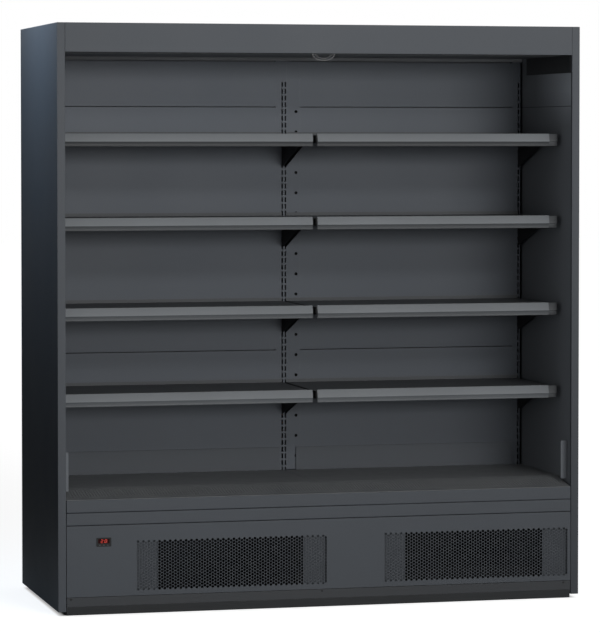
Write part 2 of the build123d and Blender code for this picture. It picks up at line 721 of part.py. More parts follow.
def front_plinth():
    y_end = y_front + panel_fold + panel_sheet
    path = [(y_end, kick_top), (y_front, kick_top), (y_front, kick_split), (y_end, kick_split)]
    plate = along_x(folded(path, panel_sheet), -x_panel, x_panel)
    z_screw = kick_top - screw_drop
    keep("kick_plate", plate)
    head = Rot(90, 0, 0) * extrude(RegularPolygon(screw_head_r, 6), screw_head)
    keep("kick_screws", *[Pos(x, y_front, z_screw) * head
                          for x in (-x_panel + screw_left, screw_middle, x_panel - screw_right)])
    path = [(y_end, kick_split - seat_gap), (y_front, kick_split - seat_gap),
            (y_front + kick_lean, kick_clear), (y_front + kick_lean + skirt_fold, kick_clear)]
    keep("kick_skirt", along_x(folded(path, panel_sheet), -x_panel, x_panel))


# ---------------------------------------------------------------- service panel
def cell_field(x_low, x_high):
    """Honeycomb of cells that fills one window of the service panel."""
    pitch_x = cell_across + cell_web
    pitch_z = pitch_x * math.sqrt(3) / 2
    columns = int((x_high - x_low + cell_web) // pitch_x)
    rows = int((window_high - window_low) // pitch_z)
    x_start = (x_low + x_high) / 2 - pitch_x * (columns - 1) / 2
    z_start = (window_low + window_high) / 2 - pitch_z * (rows - 1) / 2
    outline = RegularPolygon(cell_across / 2, 6, major_radius=False, rotation=30)
    cell = Rot(90, 0, 0) * extrude(outline, cut_over, both=True)
    return [Pos(x_start + pitch_x * (i + j % 2 / 2), y_front, z_start + pitch_z * j) * cell
            for j in range(rows) for i in range(columns - j % 2)]


def service_panel():
    """Perforated front sheet with a stiffening strip behind each of its edges."""
    z_low, z_high = kick_top + seam, z_bumper_low - seam
    y_sheet, y_fold = y_front + panel_sheet, y_front + panel_fold
    across = (-x_panel, x_panel)
    sheet = slab(across, (y_front, y_sheet), (z_low, z_high))
    for window in (window_left, window_right):
        sheet -= cell_field(*window)
    cut_wide, cut_high = controller_wide - 2 * bezel_lap, controller_high - 2 * bezel_lap
    cut = Pos(controller_x, y_front, controller_z) * Box(cut_wide, 2 * cut_over, cut_high)
    level = [slab(across, (y_sheet, y_fold), (z, z + panel_sheet)) for z in (z_low, z_high - panel_sheet)]
    between = (z_low + panel_sheet, z_high - panel_sheet)
    ends = [slab((x, x + panel_sheet), (y_sheet, y_fold), between) for x in (-x_panel, x_panel - panel_sheet)]
    keep("service_panel", sheet - cut, *level, *ends)
    keep("panel_baffle", *baffle(z_high, Pos(0, panel_fold, 0) * cut))


def baffle(z_high, controller_cut):
    """Plates that close the compartment behind the panel, except at the two air windows."""
    z_low = tray_under + tray_wall
    y = (y_front + panel_fold, y_front + panel_fold + liner)
    level = [slab((-x_panel, x_panel), y, z) for z in ((z_low, window_low), (window_high, z_high))]
    spans = ((-x_panel, window_left[0]), (window_left[1], window_right[0]), (window_right[1], x_panel))
    posts = [slab(span, y, (window_low, window_high)) for span in spans]
    return [plate - controller_cut for plate in level + posts]


def controller():
    """Digital controller: bezel and body, a display window and three keys."""
    x, z = controller_x, controller_z
    y_face = y_front - controller_rim
    bezel = Pos(x, y_front - controller_rim / 2, z) * Box(controller_wide, controller_rim, controller_high)
    bezel = fillet(bezel.edges().filter_by(Axis.Y), bezel_corner)
    body_x, body_z = controller_wide / 2 - body_lap, controller_high / 2 - body_lap
    housing = bezel + slab((x - body_x, x + body_x), (y_face, y_front + controller_deep),
                           (z - body_z, z + body_z))
    display = Box(controller_wide - 2 * display_side, display_thick, controller_high - 2 * display_ends)
    z_display, z_keys = z + display_up, z - key_drop
    housing -= Pos(x, y_face + display_thick / 2, z_display) * display
    keep("controller_display", Pos(x, y_face + display_thick / 2, z_display) * display)
    pocket = Box(key_wide + 2 * key_clear, 2 * pocket_deep, key_high + 2 * key_clear)
    key = Box(key_wide, key_proud + key_deep, key_high)
    y_key = y_face + (key_deep - key_proud) / 2
    for i, name in ((-1, "key_down"), (0, "key_set"), (1, "key_up")):
        x_key = x + i * key_pitch
        housing -= Pos(x_key, y_face, z_keys) * pocket
        keep(name, Pos(x_key, y_key, z_keys) * key)
    keep("controller_housing", housing)


# ---------------------------------------------------------------- machinery
def rotor(radius, hub_r, thick, shaft):
    """Axial fan about +Z: a hub with pitched blades and a shaft towards -Z."""
    fan = extrude(RegularPolygon(hub_r, hub_sides), thick / 2, both=True)
    fan += Pos(0, 0, -shaft / 2) * Cylinder(fan_shaft_r, shaft)
    chord = blade_chord * radius
    tip = math.sqrt(radius ** 2 - (chord / 2) ** 2)
    root = 0.8 * hub_r
    blade = Pos((root + tip) / 2, 0, 0) * Rot(blade_pitch, 0, 0) * Box(tip - root, chord, blade_sheet)
    for i in range(fan_blades):
        fan += Rot(0, 0, 360 / fan_blades * i) * blade
    return fan


def grooved_block(x, y, z, deep):
    """Fin pack of a coil: a block with fin grooves on its front."""
    block = slab(x, y, z)
    count = int((x[1] - x[0]) // fin_pitch)
    pitch = (x[1] - x[0]) / count
    for i in range(count):
        centre = x[0] + pitch * (i + 0.5)
        block -= slab((centre - pitch / 4, centre + pitch / 4), (y[0] - cut_over, y[0] + deep),
                      (z[0] - cut_over, z[1] + cut_over))
    return block


def condensing_unit():
    """Condenser with its shroud and fan. Returns the fan's motor and the foot of the compressor."""
    x_low, x_high = window_left
    z_top = tank_floor - tank_foam - condenser_top_gap
    y_coil = y_front + condenser_inset
    y_plate = y_coil + condenser_deep
    x_fan, z_fan = (x_low + x_high) / 2, (z_machine + z_top) / 2

    def about_fan(y_from, y_to, radius, sides=0):
        return rod((x_fan, y_plate + y_from, z_fan), (x_fan, y_plate + y_to, z_fan), radius, sides)

    coil = grooved_block((x_low + condenser_side, x_high - condenser_side), (y_coil, y_plate),
                         (z_machine, z_top), condenser_groove)
    keep("condenser_coil", coil)
    ring_r = condenser_fan_r + fan_tip_gap
    arm_end = collar_deep + arm_thick
    shroud = slab((x_low, x_high), (y_plate, y_plate + shroud_sheet), (z_machine, z_top))
    shroud += about_fan(0, collar_deep, ring_r + shroud_sheet, fan_sides)
    shroud -= about_fan(-cut_over, collar_deep + cut_over, ring_r, fan_sides)
    shroud += slab((x_fan - ring_r, x_fan + ring_r), (y_plate + collar_deep, y_plate + arm_end),
                   (z_fan - arm_half, z_fan + arm_half))
    shroud -= about_fan(collar_deep - 1, arm_end + 1, fan_shaft_r + fan_shaft_clear)
    keep("fan_shroud", shroud)
    fan_plane = Plane(origin=(x_fan, y_plate + collar_deep / 2, z_fan), z_dir=(0, -1, 0))
    shaft = collar_deep / 2 + arm_thick - seat_gap
    keep("condenser_fan", fan_plane * rotor(condenser_fan_r, condenser_hub_r, condenser_blade_high, shaft))
    motor = about_fan(arm_end, arm_end + fan_motor_long, fan_motor_r, fan_sides)
    return motor, (x_fan - compressor_aside, y_plate + compressor_back)


def compressor(x, y):
    """Hermetic compressor: domed shell on a foot plate with four mounts."""
    r, z_can = compressor_r, z_machine + compressor_lift
    can_high = compressor_high - compressor_lift
    can = Pos(x, y, z_can + can_high / 2) * Cylinder(r, can_high)
    top_edge = can.edges().filter_by(GeomType.CIRCLE).sort_by(Axis.Z)[-1]
    can = chamfer(top_edge, 0.16 * r, 0.42 * r)
    foot_edge = can.edges().filter_by(GeomType.CIRCLE).sort_by(Axis.Z)[0]
    can = chamfer(foot_edge, 0.15 * r)
    plate = Pos(x, y, z_machine + compressor_feet + 1) * Box(2.3 * r, 1.7 * r, 4)
    mount = extrude(RegularPolygon(12, 6), compressor_feet)
    for sx in (-1, 1):
        for sy in (-1, 1):
            plate += Pos(x + sx * r, y + sy * 0.7 * r, z_machine) * mount
    neck = Pos(x, y, z_can) * extrude(RegularPolygon(0.7 * r, 12), 5, both=True)
    return can + plate + neck


def cold_side():
    """Evaporator in the rear duct and its two fans in the tank. Returns the fans' motors."""
    y_low = y_back + channel_deep + evaporator_front
    y = (y_low, y_low + evaporator_deep)
    z_top = evaporator_low + evaporator_high
    coil = grooved_block((-evaporator_half, evaporator_half), y, (evaporator_low, z_top), evaporator_groove)
    for x in (-evaporator_half - evaporator_plate, evaporator_half):
        coil += slab((x, x + evaporator_plate), y, (tank_floor, z_top + evaporator_plate))
    keep("evaporator_coil", coil)
    tilt = math.radians(cold_fan_tilt)
    y_fan, z_fan = y_front + cold_fan_inset, tank_floor + cold_fan_lift
    run_y, run_z = fan_plate_run * math.cos(tilt), fan_plate_run * math.sin(tilt)
    path = [(y_fan - run_y, tank_floor), (y_fan - run_y, z_fan - run_z),
            (y_fan + run_y, z_fan + run_z), (y_fan + run_y, tank_floor)]
    plate = along_x(folded(path, -skin), -x_liner + fan_plate_side, x_liner - fan_plate_side)
    opening = extrude(RegularPolygon(cold_fan_r + fan_tip_gap - 1, fan_sides), 2 * cut_over, both=True)
    arm = Pos(0, 0, -cold_bar_drop) * Box(2 * cold_fan_r + 12, 2 * cold_bar_half, 2)
    for side in (-1, 1):
        arm += Pos(side * (cold_fan_r + 5), 0, -cold_bar_drop / 2) * Box(
            3, 2 * cold_bar_half, cold_bar_drop + 1)
    motors = []
    for side, name in ((-1, "evaporator_fan_left"), (1, "evaporator_fan_right")):
        plane = Plane(origin=(side * cold_fan_x, y_fan, z_fan), x_dir=(1, 0, 0),
                      z_dir=(0, -math.sin(tilt), math.cos(tilt)))
        plate -= plane * opening
        plate += plane * arm
        keep(name, plane * Pos(0, 0, 2) * rotor(cold_fan_r, cold_hub_r, cold_blade_high, 8 - seat_gap))
        motor = extrude(RegularPolygon(cold_motor_r, fan_sides), cold_motor_high / 2, both=True)
        motors.append(plane * Pos(0, 0, -9) * motor)
    keep("evaporator_fan_plate", plate)
    return motors


def pipes(x, y):
    """Discharge line to the condenser and suction line up to the evaporator."""
    z = z_machine + compressor_high - 60
    touch = compressor_r + 0.1
    x_side, x_corner = x + touch, x + touch + pipe_out
    y_coil = y_front + condenser_inset + condenser_deep + shroud_sheet
    discharge = FilletPolyline((x_side, y, z), (x_corner, y, z), (x_corner, y_coil, z), radius=pipe_bend)
    x_out, y_up = x - touch - pipe_back, y_duct - pipe_wall_gap
    suction = FilletPolyline((x - touch, y, z), (x_out, y, z), (x_out, y_up, z),
                             (x_out, y_up, tank_floor - tank_foam), radius=pipe_bend)
    return [sweep(Plane(origin=line @ 0, z_dir=line % 0) * RegularPolygon(pipe_r, pipe_sides), line)
            for line in (discharge, suction)]


def machinery():
    motor, compressor_place = condensing_unit()
    keep("fan_motors", motor, *cold_side())
    keep("compressor", compressor(*compressor_place))
    keep("refrigerant_pipes", *pipes(*compressor_place))
    x_low, x_high = window_right
    y_low, y_high = y_front + water_tray[0], y_front + water_tray[1]
    tray = slab((x_low, x_high), (y_low, y_high), (z_machine, z_machine + water_tray_high))
    tray -= slab((x_low + tray_sheet, x_high - tray_sheet), (y_low + tray_sheet, y_high - tray_sheet),
                 (z_machine + tray_sheet, z_machine + water_tray_high + cut_over))
    keep("condensate_tray", tray)
    box = slab((x_low + box_side, x_high - box_side), (y_rear - skin - box_deep, y_rear - skin),
               (z_machine + box_low, z_machine + box_high))
    keep("electrical_box", chamfer(box.edges().filter_by(Axis.Z), 6))


def build():
    for step in (shell, canopy, night_blind, back_wall, shelves, deck, base, front_plinth,
                 service_panel, controller, machinery):
        step()


def write():
    os.makedirs("parts", exist_ok=True)
    for name, shape in parts.items():
        export_step(shape, f"parts/{name}.step")
    print(len(parts), "nodes")


build()
write()
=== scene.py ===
# %% [markdown]
# # An open multideck display fridge
# A shop fridge with two bays of hook-on shelves, a canopy with a night blind, and a machine
# compartment behind a perforated panel. Its construction arrives finished, as a frame of named parts.
# This lesson adds what a part drawing leaves out: the finish of every surface, the fine perforation,
# the cloth of the blind, real fins and fan blades, and the studio that the fridge stands in.

# %% Load the frame
import json
import math

import bmesh
import bpy
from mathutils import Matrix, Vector
from mathutils.geometry import delaunay_2d_cdt


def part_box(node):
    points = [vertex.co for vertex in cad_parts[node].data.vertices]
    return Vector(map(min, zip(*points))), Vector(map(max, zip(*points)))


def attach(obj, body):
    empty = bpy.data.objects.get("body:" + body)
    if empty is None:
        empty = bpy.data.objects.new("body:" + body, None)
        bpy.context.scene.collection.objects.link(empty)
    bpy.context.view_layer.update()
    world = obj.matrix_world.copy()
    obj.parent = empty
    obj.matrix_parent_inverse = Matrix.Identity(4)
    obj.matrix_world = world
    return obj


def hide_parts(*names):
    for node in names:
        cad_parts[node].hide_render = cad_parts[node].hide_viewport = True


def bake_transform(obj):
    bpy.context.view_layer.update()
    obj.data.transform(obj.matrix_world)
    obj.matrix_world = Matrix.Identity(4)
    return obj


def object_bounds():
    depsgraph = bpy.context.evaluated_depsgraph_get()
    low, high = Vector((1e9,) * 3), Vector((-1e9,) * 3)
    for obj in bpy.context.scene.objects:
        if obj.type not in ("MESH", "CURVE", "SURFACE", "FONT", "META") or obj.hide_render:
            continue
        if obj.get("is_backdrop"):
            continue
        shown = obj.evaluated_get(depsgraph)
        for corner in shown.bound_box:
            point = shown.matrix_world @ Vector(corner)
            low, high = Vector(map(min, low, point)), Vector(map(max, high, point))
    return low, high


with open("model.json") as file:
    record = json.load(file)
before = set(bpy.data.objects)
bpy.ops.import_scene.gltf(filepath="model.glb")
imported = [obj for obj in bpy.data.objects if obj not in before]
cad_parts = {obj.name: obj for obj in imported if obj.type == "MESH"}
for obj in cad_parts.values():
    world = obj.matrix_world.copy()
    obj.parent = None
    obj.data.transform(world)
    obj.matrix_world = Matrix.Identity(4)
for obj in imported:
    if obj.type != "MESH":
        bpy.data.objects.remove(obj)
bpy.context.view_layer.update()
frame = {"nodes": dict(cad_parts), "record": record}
slot_of = {part["node"]: part["material_slot"] for part in frame["record"]["subparts"]}

# %% [markdown]
# ## The camera
# The picture was taken from far away with a long lens, a little to the left and at head height, so
# its verticals run parallel. The aim is kept almost level, and a small lens shift brings the fridge
# back into the middle, as an architect's camera does.

# %% Camera
CAMERA_PLACE = (-2.8854, -11.4251, 1.6535)
CAMERA_TURN = 14.2273       # degrees to the right of straight on
CAMERA_TILT = 2.0575        # degrees downwards
CAMERA_LENS = 184.518       # mm, on a 36 mm sensor
CAMERA_SHIFT = -0.09494


def shown(name, data):
    """Put an object with this data into the scene."""
    made = bpy.data.objects.new(name, data)
    bpy.context.scene.collection.objects.link(made)
    return made


camera_data = bpy.data.cameras.new("camera")
camera_data.lens = CAMERA_LENS
camera_data.sensor_width = 36
camera_data.shift_y = CAMERA_SHIFT
camera_data.clip_end = 100
camera = shown("camera", camera_data)
camera.location = CAMERA_PLACE
camera.rotation_euler = (math.radians(90 - CAMERA_TILT), 0, math.radians(-CAMERA_TURN))
bpy.context.scene.camera = camera
bpy.context.scene.view_settings.view_transform = "Standard"
print("camera looks", CAMERA_TURN, "degrees to the right")

# %% [markdown]
# ## Helpers for nodes
# Every material below is a small network of nodes. `place` adds one node, sets its options and wires
# its inputs, so that a network reads as a list of what feeds what. The helpers after it each name one
# thing that many networks do.

# %% Node helpers
finish = {}


def place(tree, kind, options=None, **inputs):
    """Add a node. Inputs are numbers, colours or sockets; their names have _ for a space."""
    made = tree.nodes.new("ShaderNode" + kind)
    for name, value in (options or {}).items():
        setattr(made, name, value)
    for name, value in inputs.items():
        socket = made.inputs[int(name[1:])] if name[0] == "i" and name[1:].isdigit() else \
            made.inputs[name.replace("_", " ")]
        if isinstance(value, bpy.types.NodeSocket):
            tree.links.new(value, socket)
        else:
            socket.default_value = value
    return made


def wire(inputs, **sockets):
    """Join sockets to a node's inputs, whose names have _ for a space."""
    for name, socket in sockets.items():
        socket.id_data.links.new(socket, inputs[name.replace("_", " ")])


def maths(tree, operation, first, second=0.0, third=0.0):
    """The result of one sum on numbers or sockets."""
    return place(tree, "Math", {"operation": operation}, i0=first, i1=second, i2=third).outputs[0]


def between(tree, value, low, high, first=0.0, last=1.0):
    """A number that runs from first to last while a value runs from low to high."""
    return place(tree, "MapRange", None, i0=value, i1=low, i2=high, i3=first, i4=last).outputs[0]


def spot_on(tree):
    """The place on the object, in metres."""
    return place(tree, "TexCoord").outputs["Object"]


def axes(tree, vector):
    """The X, Y and Z of a vector."""
    return place(tree, "SeparateXYZ", None, Vector=vector).outputs


def noise(tree, spot, scale, detail=2.0, roughness=0.5):
    """A cloudy pattern from 0 to 1."""
    return place(tree, "TexNoise", None, Vector=spot, Scale=scale, Detail=detail,
                 Roughness=roughness).outputs["Fac"]


def faded(tree, colour, share):
    """A colour times a number."""
    return place(tree, "VectorMath", {"operation": "SCALE"}, Vector=colour, Scale=share).outputs[0]


def mixed(tree, factor, first, second):
    """A mix of two colours."""
    return place(tree, "Mix", {"data_type": "RGBA"}, i0=factor, i6=first, i7=second).outputs[2]


def relief(tree, strength, distance, height):
    """A normal that follows a height."""
    return place(tree, "Bump", None, Strength=strength, Distance=distance, Height=height).outputs[0]


def new_group(name, inputs, outputs):
    """A node group. What is called Colour is a colour, and everything else is a number."""
    tree = bpy.data.node_groups.new(name, "ShaderNodeTree")
    kind = {True: "NodeSocketColor", False: "NodeSocketFloat"}
    for label, default in inputs.items():
        socket = tree.interface.new_socket(label, in_out="INPUT", socket_type=kind[label == "Colour"])
        socket.default_value = default
    for label in outputs:
        tree.interface.new_socket(label, in_out="OUTPUT", socket_type=kind[label == "Colour"])
    return tree, tree.nodes.new("NodeGroupInput").outputs, tree.nodes.new("NodeGroupOutput").inputs


def use_group(tree, name, **inputs):
    """Place a group in a material and return its outputs."""
    return place(tree, "Group", {"node_tree": bpy.data.node_groups[name]}, **inputs).outputs


def new_material(name, colour, roughness, metallic=0.0, specular=0.5):
    """Add a finish with one Principled shader. Returns its tree and the shader's inputs."""
    finish[name] = bpy.data.materials.new(name)
    finish[name].use_nodes = True
    tree = finish[name].node_tree
    inputs = tree.nodes["Principled BSDF"].inputs
    inputs["Base Color"].default_value = (*colour, 1)
    inputs["Roughness"].default_value = roughness
    inputs["Metallic"].default_value = metallic
    inputs["Specular IOR Level"].default_value = specular
    return tree, inputs


print("node helpers are ready")

# %% [markdown]
# ## Shared surface effects
# Powder coat, moulded plastic and plated steel differ in colour, but the same few things happen to
# all of them. The surface has a fine texture, the tone drifts a little from place to place, dust
# settles on what faces up, and handled edges get lighter. Cloth has its crossing threads, and hot-dip
# zinc its crystals. Each effect is one node group, placed in materials with its own numbers.

# %% Surface effect groups
tree, entry, end = new_group("surface_texture", {"Grain Size": 0.0012, "Grain Depth": 0.5, "Wave Depth": 0.2},
                             ["Height", "Fine", "Broad"])
spot = spot_on(tree)
fine = noise(tree, spot, maths(tree, "DIVIDE", 1.0, entry["Grain Size"]), roughness=0.55)
broad = noise(tree, spot, 2.6, 3.0, 0.6)
waves = noise(tree, spot, 9.0, 1.0)
height = maths(tree, "ADD", maths(tree, "MULTIPLY", fine, entry["Grain Depth"]),
               maths(tree, "MULTIPLY", waves, entry["Wave Depth"]))
wire(end, Height=height, Fine=fine, Broad=broad)

tree, entry, end = new_group("tone_drift", {"Colour": (0.1, 0.1, 0.1, 1), "Fine": 0.5, "Broad": 0.5,
                                            "Fine Amount": 0.1, "Broad Amount": 0.2}, ["Colour"])
drift = 1.0
for size in ("Broad", "Fine"):
    off_middle = maths(tree, "SUBTRACT", entry[size], 0.5)
    drift = maths(tree, "MULTIPLY_ADD", off_middle, entry[size + " Amount"], drift)
wire(end, Colour=faded(tree, entry["Colour"], drift))

tree, entry, end = new_group("edge_wear", {"Width": 0.0015, "Amount": 0.5}, ["Mask"])
rounded = place(tree, "Bevel", {"samples": 4}, Radius=entry["Width"]).outputs[0]
flat = place(tree, "NewGeometry").outputs["Normal"]
match = place(tree, "VectorMath", {"operation": "DOT_PRODUCT"}, i0=rounded, i1=flat).outputs["Value"]
edge = between(tree, match, 0.998, 0.86)
patchy = between(tree, noise(tree, spot_on(tree), 38.0, 4.0, 0.7), 0.42, 0.62)
wire(end, Mask=maths(tree, "MULTIPLY", maths(tree, "MULTIPLY", edge, patchy), entry["Amount"]))

tree, entry, end = new_group("settled_dust", {"Amount": 0.3}, ["Mask"])
upward = axes(tree, place(tree, "NewGeometry").outputs["Normal"])["Z"]
cloud = between(tree, noise(tree, spot_on(tree), 14.0, 6.0, 0.7), 0.35, 0.7)
dust = maths(tree, "MULTIPLY", between(tree, upward, 0.35, 0.95), cloud)
wire(end, Mask=maths(tree, "MULTIPLY", dust, entry["Amount"]))

tree, entry, end = new_group("plain_weave", {"Thread": 0.0016, "Slub": 0.5}, ["Height", "Shade"])
spot = axes(tree, spot_on(tree))
turn = maths(tree, "DIVIDE", math.pi, entry["Thread"])
across, along = (maths(tree, "SINE", maths(tree, "MULTIPLY", spot[axis], turn)) for axis in "XZ")
over = between(tree, maths(tree, "MULTIPLY", across, along), -0.25, 0.25)
cloth = place(tree, "Mix", {"data_type": "FLOAT"}, i0=over, i2=maths(tree, "ABSOLUTE", across),
              i3=maths(tree, "ABSOLUTE", along)).outputs[0]
lengthways = place(tree, "CombineXYZ", None, X=maths(tree, "MULTIPLY", spot["X"], 3.0),
                   Y=maths(tree, "MULTIPLY", spot["Z"], 90.0)).outputs[0]
slubs = noise(tree, lengthways, 4.0, 3.0)
thick = maths(tree, "MULTIPLY", slubs, entry["Slub"])
wire(end, Height=maths(tree, "ADD", cloth, thick), Shade=maths(tree, "MULTIPLY_ADD", cloth, 0.35, thick))

tree, entry, end = new_group("zinc_spangle", {"Size": 0.02}, ["Shade"])
spot = spot_on(tree)
scale = maths(tree, "DIVIDE", 1.0, entry["Size"])
flakes = place(tree, "TexVoronoi", None, Vector=spot, Scale=scale).outputs["Color"]
flake = place(tree, "SeparateColor", None, Color=flakes).outputs[0]
streaks = noise(tree, spot, maths(tree, "MULTIPLY", scale, 6.0))
wire(end, Shade=maths(tree, "MULTIPLY_ADD", flake, 0.7, maths(tree, "MULTIPLY", streaks, 0.3)))
print("groups", [group.name for group in bpy.data.node_groups])

# %% [markdown]
# ## Powder coat
# The sheet steel is sprayed with dry powder and baked. It comes out satin, with an orange peel a
# millimetre across, and a shade deeper or paler from one sheet to the next. One function makes every
# colour of it, so that the panels, the shelves and the brackets stay one family. Moulded plastic and
# plain metal use the same function with other numbers.

# %% Painted and moulded finishes
DUST_COLOUR = (0.24, 0.24, 0.23, 1)
ANTHRACITE = (0.0580, 0.0648, 0.0745)


def grey(level):
    """A colour without any hue."""
    return (level, level, level)


def weathered(tree, tone, worn, wear, dust):
    """A tone with lighter handled edges and dust on what faces up, and the dust's mask."""
    tone = mixed(tree, use_group(tree, "edge_wear", Amount=wear)["Mask"], tone, (*worn, 1))
    settled = use_group(tree, "settled_dust", Amount=dust)["Mask"]
    return mixed(tree, settled, tone, DUST_COLOUR), settled


def coated(name, colour, roughness=0.5, grain=0.0012, depth=0.4, wave=0.15, specular=0.2,
           worn=(0.2, 0.21, 0.22), wear=0.35, dust=0.12, metallic=0.0):
    """Painted sheet or moulded plastic: texture, drifting tone, dust on top and lighter edges."""
    tree, shader = new_material(name, colour, roughness, metallic, specular)
    texture = use_group(tree, "surface_texture", Grain_Size=grain, Grain_Depth=depth, Wave_Depth=wave)
    tone = use_group(tree, "tone_drift", Colour=(*colour, 1), Fine=texture["Fine"], Broad=texture["Broad"],
                     Fine_Amount=0.2, Broad_Amount=0.25)["Colour"]
    tone, settled = weathered(tree, tone, worn, wear, dust)
    rough = maths(tree, "MULTIPLY_ADD", texture["Broad"], 0.16, roughness - 0.08)
    wire(shader, Base_Color=tone, Roughness=maths(tree, "MULTIPLY_ADD", settled, 0.5, rough),
         Normal=relief(tree, 0.12, grain, texture["Height"]))


for name, colour in (
        ("anthracite_powder_coat", ANTHRACITE), ("right_panel_coat_painted_shade", ANTHRACITE),
        ("left_panel_coat_painted_shade", ANTHRACITE),
        ("shelf_powder_coat", (0.055, 0.059, 0.064)), ("wall_coat_painted_light_and_shade", (0.0740, 0.0835, 0.0985)),
        # Painted light: the liner's coat is paler than the panels'.
        ("liner_coat_painted_light_and_shade", (0.080, 0.087, 0.096)), ("underside_coat_painted_light", (0.150, 0.158, 0.168)),
        # Painted shade: the kick plate's coat is deeper than the panels', for the shade near the floor.
        ("kick_coat_painted_shade", (0.038, 0.041, 0.045))):
    coated(name, colour)
# Painted light: the deck's coat is paler than the panels', so its flat top reads as lit.
coated("deck_powder_coat", (0.122, 0.129, 0.136), roughness=0.42, specular=0.45, dust=0.2)
coated("dark_bracket", (0.008, 0.008, 0.009), worn=grey(0.06), dust=0.05)
coated("rail_profile", (0.167, 0.178, 0.188), roughness=0.42, grain=0.0006, wear=0.2)
coated("rail_lip_painted_light", (0.054, 0.058, 0.062), roughness=0.45, grain=0.0006, wear=0.4)
coated("rail_cap", (0.070, 0.074, 0.078), grain=0.0007)
coated("side_plate_coat", (0.024, 0.025, 0.026), roughness=0.45, specular=0.3)
coated("coated_fins", (0.012, 0.013, 0.015), worn=grey(0.05))
# Painted shade: the plinth skirt's coat is deeper still, for the shade at the floor.
coated("plinth_coat_painted_shade", (0.040, 0.042, 0.044), roughness=0.6, specular=0.1)
# Painted shade: near black for the parts in the machine compartment, its trays, shroud, boxes and the
# condenser.
coated("compartment_coat_painted_shade", (0.003, 0.003, 0.0032), roughness=0.7, specular=0.1, worn=grey(0.01), dust=0.02)
coated("rubber_black", grey(0.003), roughness=0.8, specular=0.05, worn=grey(0.01), dust=0.02)
coated("key_mark", (0.25, 0.25, 0.26), roughness=0.6, grain=0.0003)
coated("black_moulding", (0.012, 0.012, 0.013), roughness=0.55, grain=0.0007, worn=grey(0.05))
coated("handle_moulding", (0.11, 0.112, 0.115), roughness=0.35, grain=0.0005, specular=0.4, worn=grey(0.2))
coated("blind_bar_profile", (0.12, 0.125, 0.13), roughness=0.4, metallic=0.8)
coated("rigid_foam", (0.045, 0.046, 0.05), roughness=0.95, grain=0.002, depth=1.0, worn=grey(0.1))
coated("black_enamel", (0.01, 0.01, 0.011), roughness=0.25, depth=0.15, wave=0.3, worn=grey(0.1))
coated("key_rubber", (0.02, 0.02, 0.021), roughness=0.7, grain=0.0003, worn=grey(0.06))
coated("display_window", (0.02, 0.001, 0.001), roughness=0.12, wear=0.0, dust=0.02, depth=0.02, wave=0.02)
coated("aluminium_fins", (0.6, 0.61, 0.62), roughness=0.4, metallic=0.9, worn=grey(0.7))
coated("copper_pipe", (0.6, 0.26, 0.14), roughness=0.3, metallic=1.0, worn=(0.8, 0.42, 0.28))
coated("zinc_screw", (0.45, 0.45, 0.43), roughness=0.35, metallic=0.9, worn=grey(0.6))
print("painted and moulded finishes", len(finish))

# %% [markdown]
# ## Cloth and zinc
# The blind is a plain weave with a thicker thread here and there. The inner metalwork and the rear
# sheets are dipped in molten zinc, which sets in crystals of different tones.


# %% Woven and galvanised finishes
def woven(name, dark, light, thread):
    """Cloth of two crossing sets of threads."""
    tree, shader = new_material(name, light, 0.9, specular=0.15)
    weave = use_group(tree, "plain_weave", Thread=thread)
    texture = use_group(tree, "surface_texture", Grain_Size=thread / 3)
    tone = mixed(tree, weave["Shade"], (*dark, 1), (*light, 1))
    tone = use_group(tree, "tone_drift", Colour=tone, Fine=texture["Fine"], Broad=texture["Broad"],
                     Fine_Amount=0.25, Broad_Amount=0.12)["Colour"]
    wire(shader, Base_Color=tone, Normal=relief(tree, 0.5, 0.0003, weave["Height"]))
    shader["Sheen Weight"].default_value = 0.25


def spangled(name, dark, light, size, roughness):
    """Hot-dip zinc: crystals a centimetre or two across, each with its own tone and gloss."""
    tree, shader = new_material(name, light, roughness, metallic=0.85)
    zinc = use_group(tree, "zinc_spangle", Size=size)["Shade"]
    texture = use_group(tree, "surface_texture", Grain_Size=0.0008)
    tone = weathered(tree, mixed(tree, zinc, (*dark, 1), (*light, 1)), (0.55, 0.56, 0.57), 0.4, 0.25)[0]
    wire(shader, Base_Color=tone, Roughness=maths(tree, "MULTIPLY_ADD", zinc, -0.18, roughness + 0.09),
         Normal=relief(tree, 0.1, 0.001, texture["Height"]))


woven("blind_fabric", (0.15, 0.155, 0.165), (0.36, 0.37, 0.39), 0.0016)
spangled("galvanised_sheet", (0.30, 0.31, 0.32), (0.46, 0.47, 0.48), 0.016, 0.42)
spangled("rear_sheet", (0.10, 0.105, 0.11), (0.19, 0.195, 0.20), 0.022, 0.5)
print("cloth and zinc finishes, in all", len(finish))

# %% [markdown]
# ## Tones that depend on the place
# Some finishes change over the cabinet. What faces the machine compartment is near black, as painted
# shade, a joint shows as a fine dark line, and painted light and shade make the walls, the panels and
# the rails' lips paler or deeper with place and height. Each change is one function of the place on
# the object.

# %% Tones by place
COMPARTMENT_PAINTED_SHADE = (*grey(0.004), 1)
REAR_PAINTED_SHADE = (*grey(0.006), 1)
JOINT_BLACK = (*grey(0.01), 1)
PAINTED_SHADE_FADE = (0.312, 0.306)          # the painted shade thins out between these heights
LINER_JOINT, JOINT_HALF = 1.774, 0.0012
PANEL_INSIDE = (0.9285, 0.9280)      # the end panels' inner faces, in X
PANEL_FRONT = (-0.361, -0.360)       # behind the end panels' front flanges, in Y


def retoned(name, change):
    """Change what feeds a finish's Base Color; change gets the tree, that socket and X, Y, Z."""
    tree = finish[name].node_tree
    colour = tree.nodes["Principled BSDF"].inputs["Base Color"]
    tree.links.new(change(tree, colour.links[0].from_socket, axes(tree, spot_on(tree))), colour)


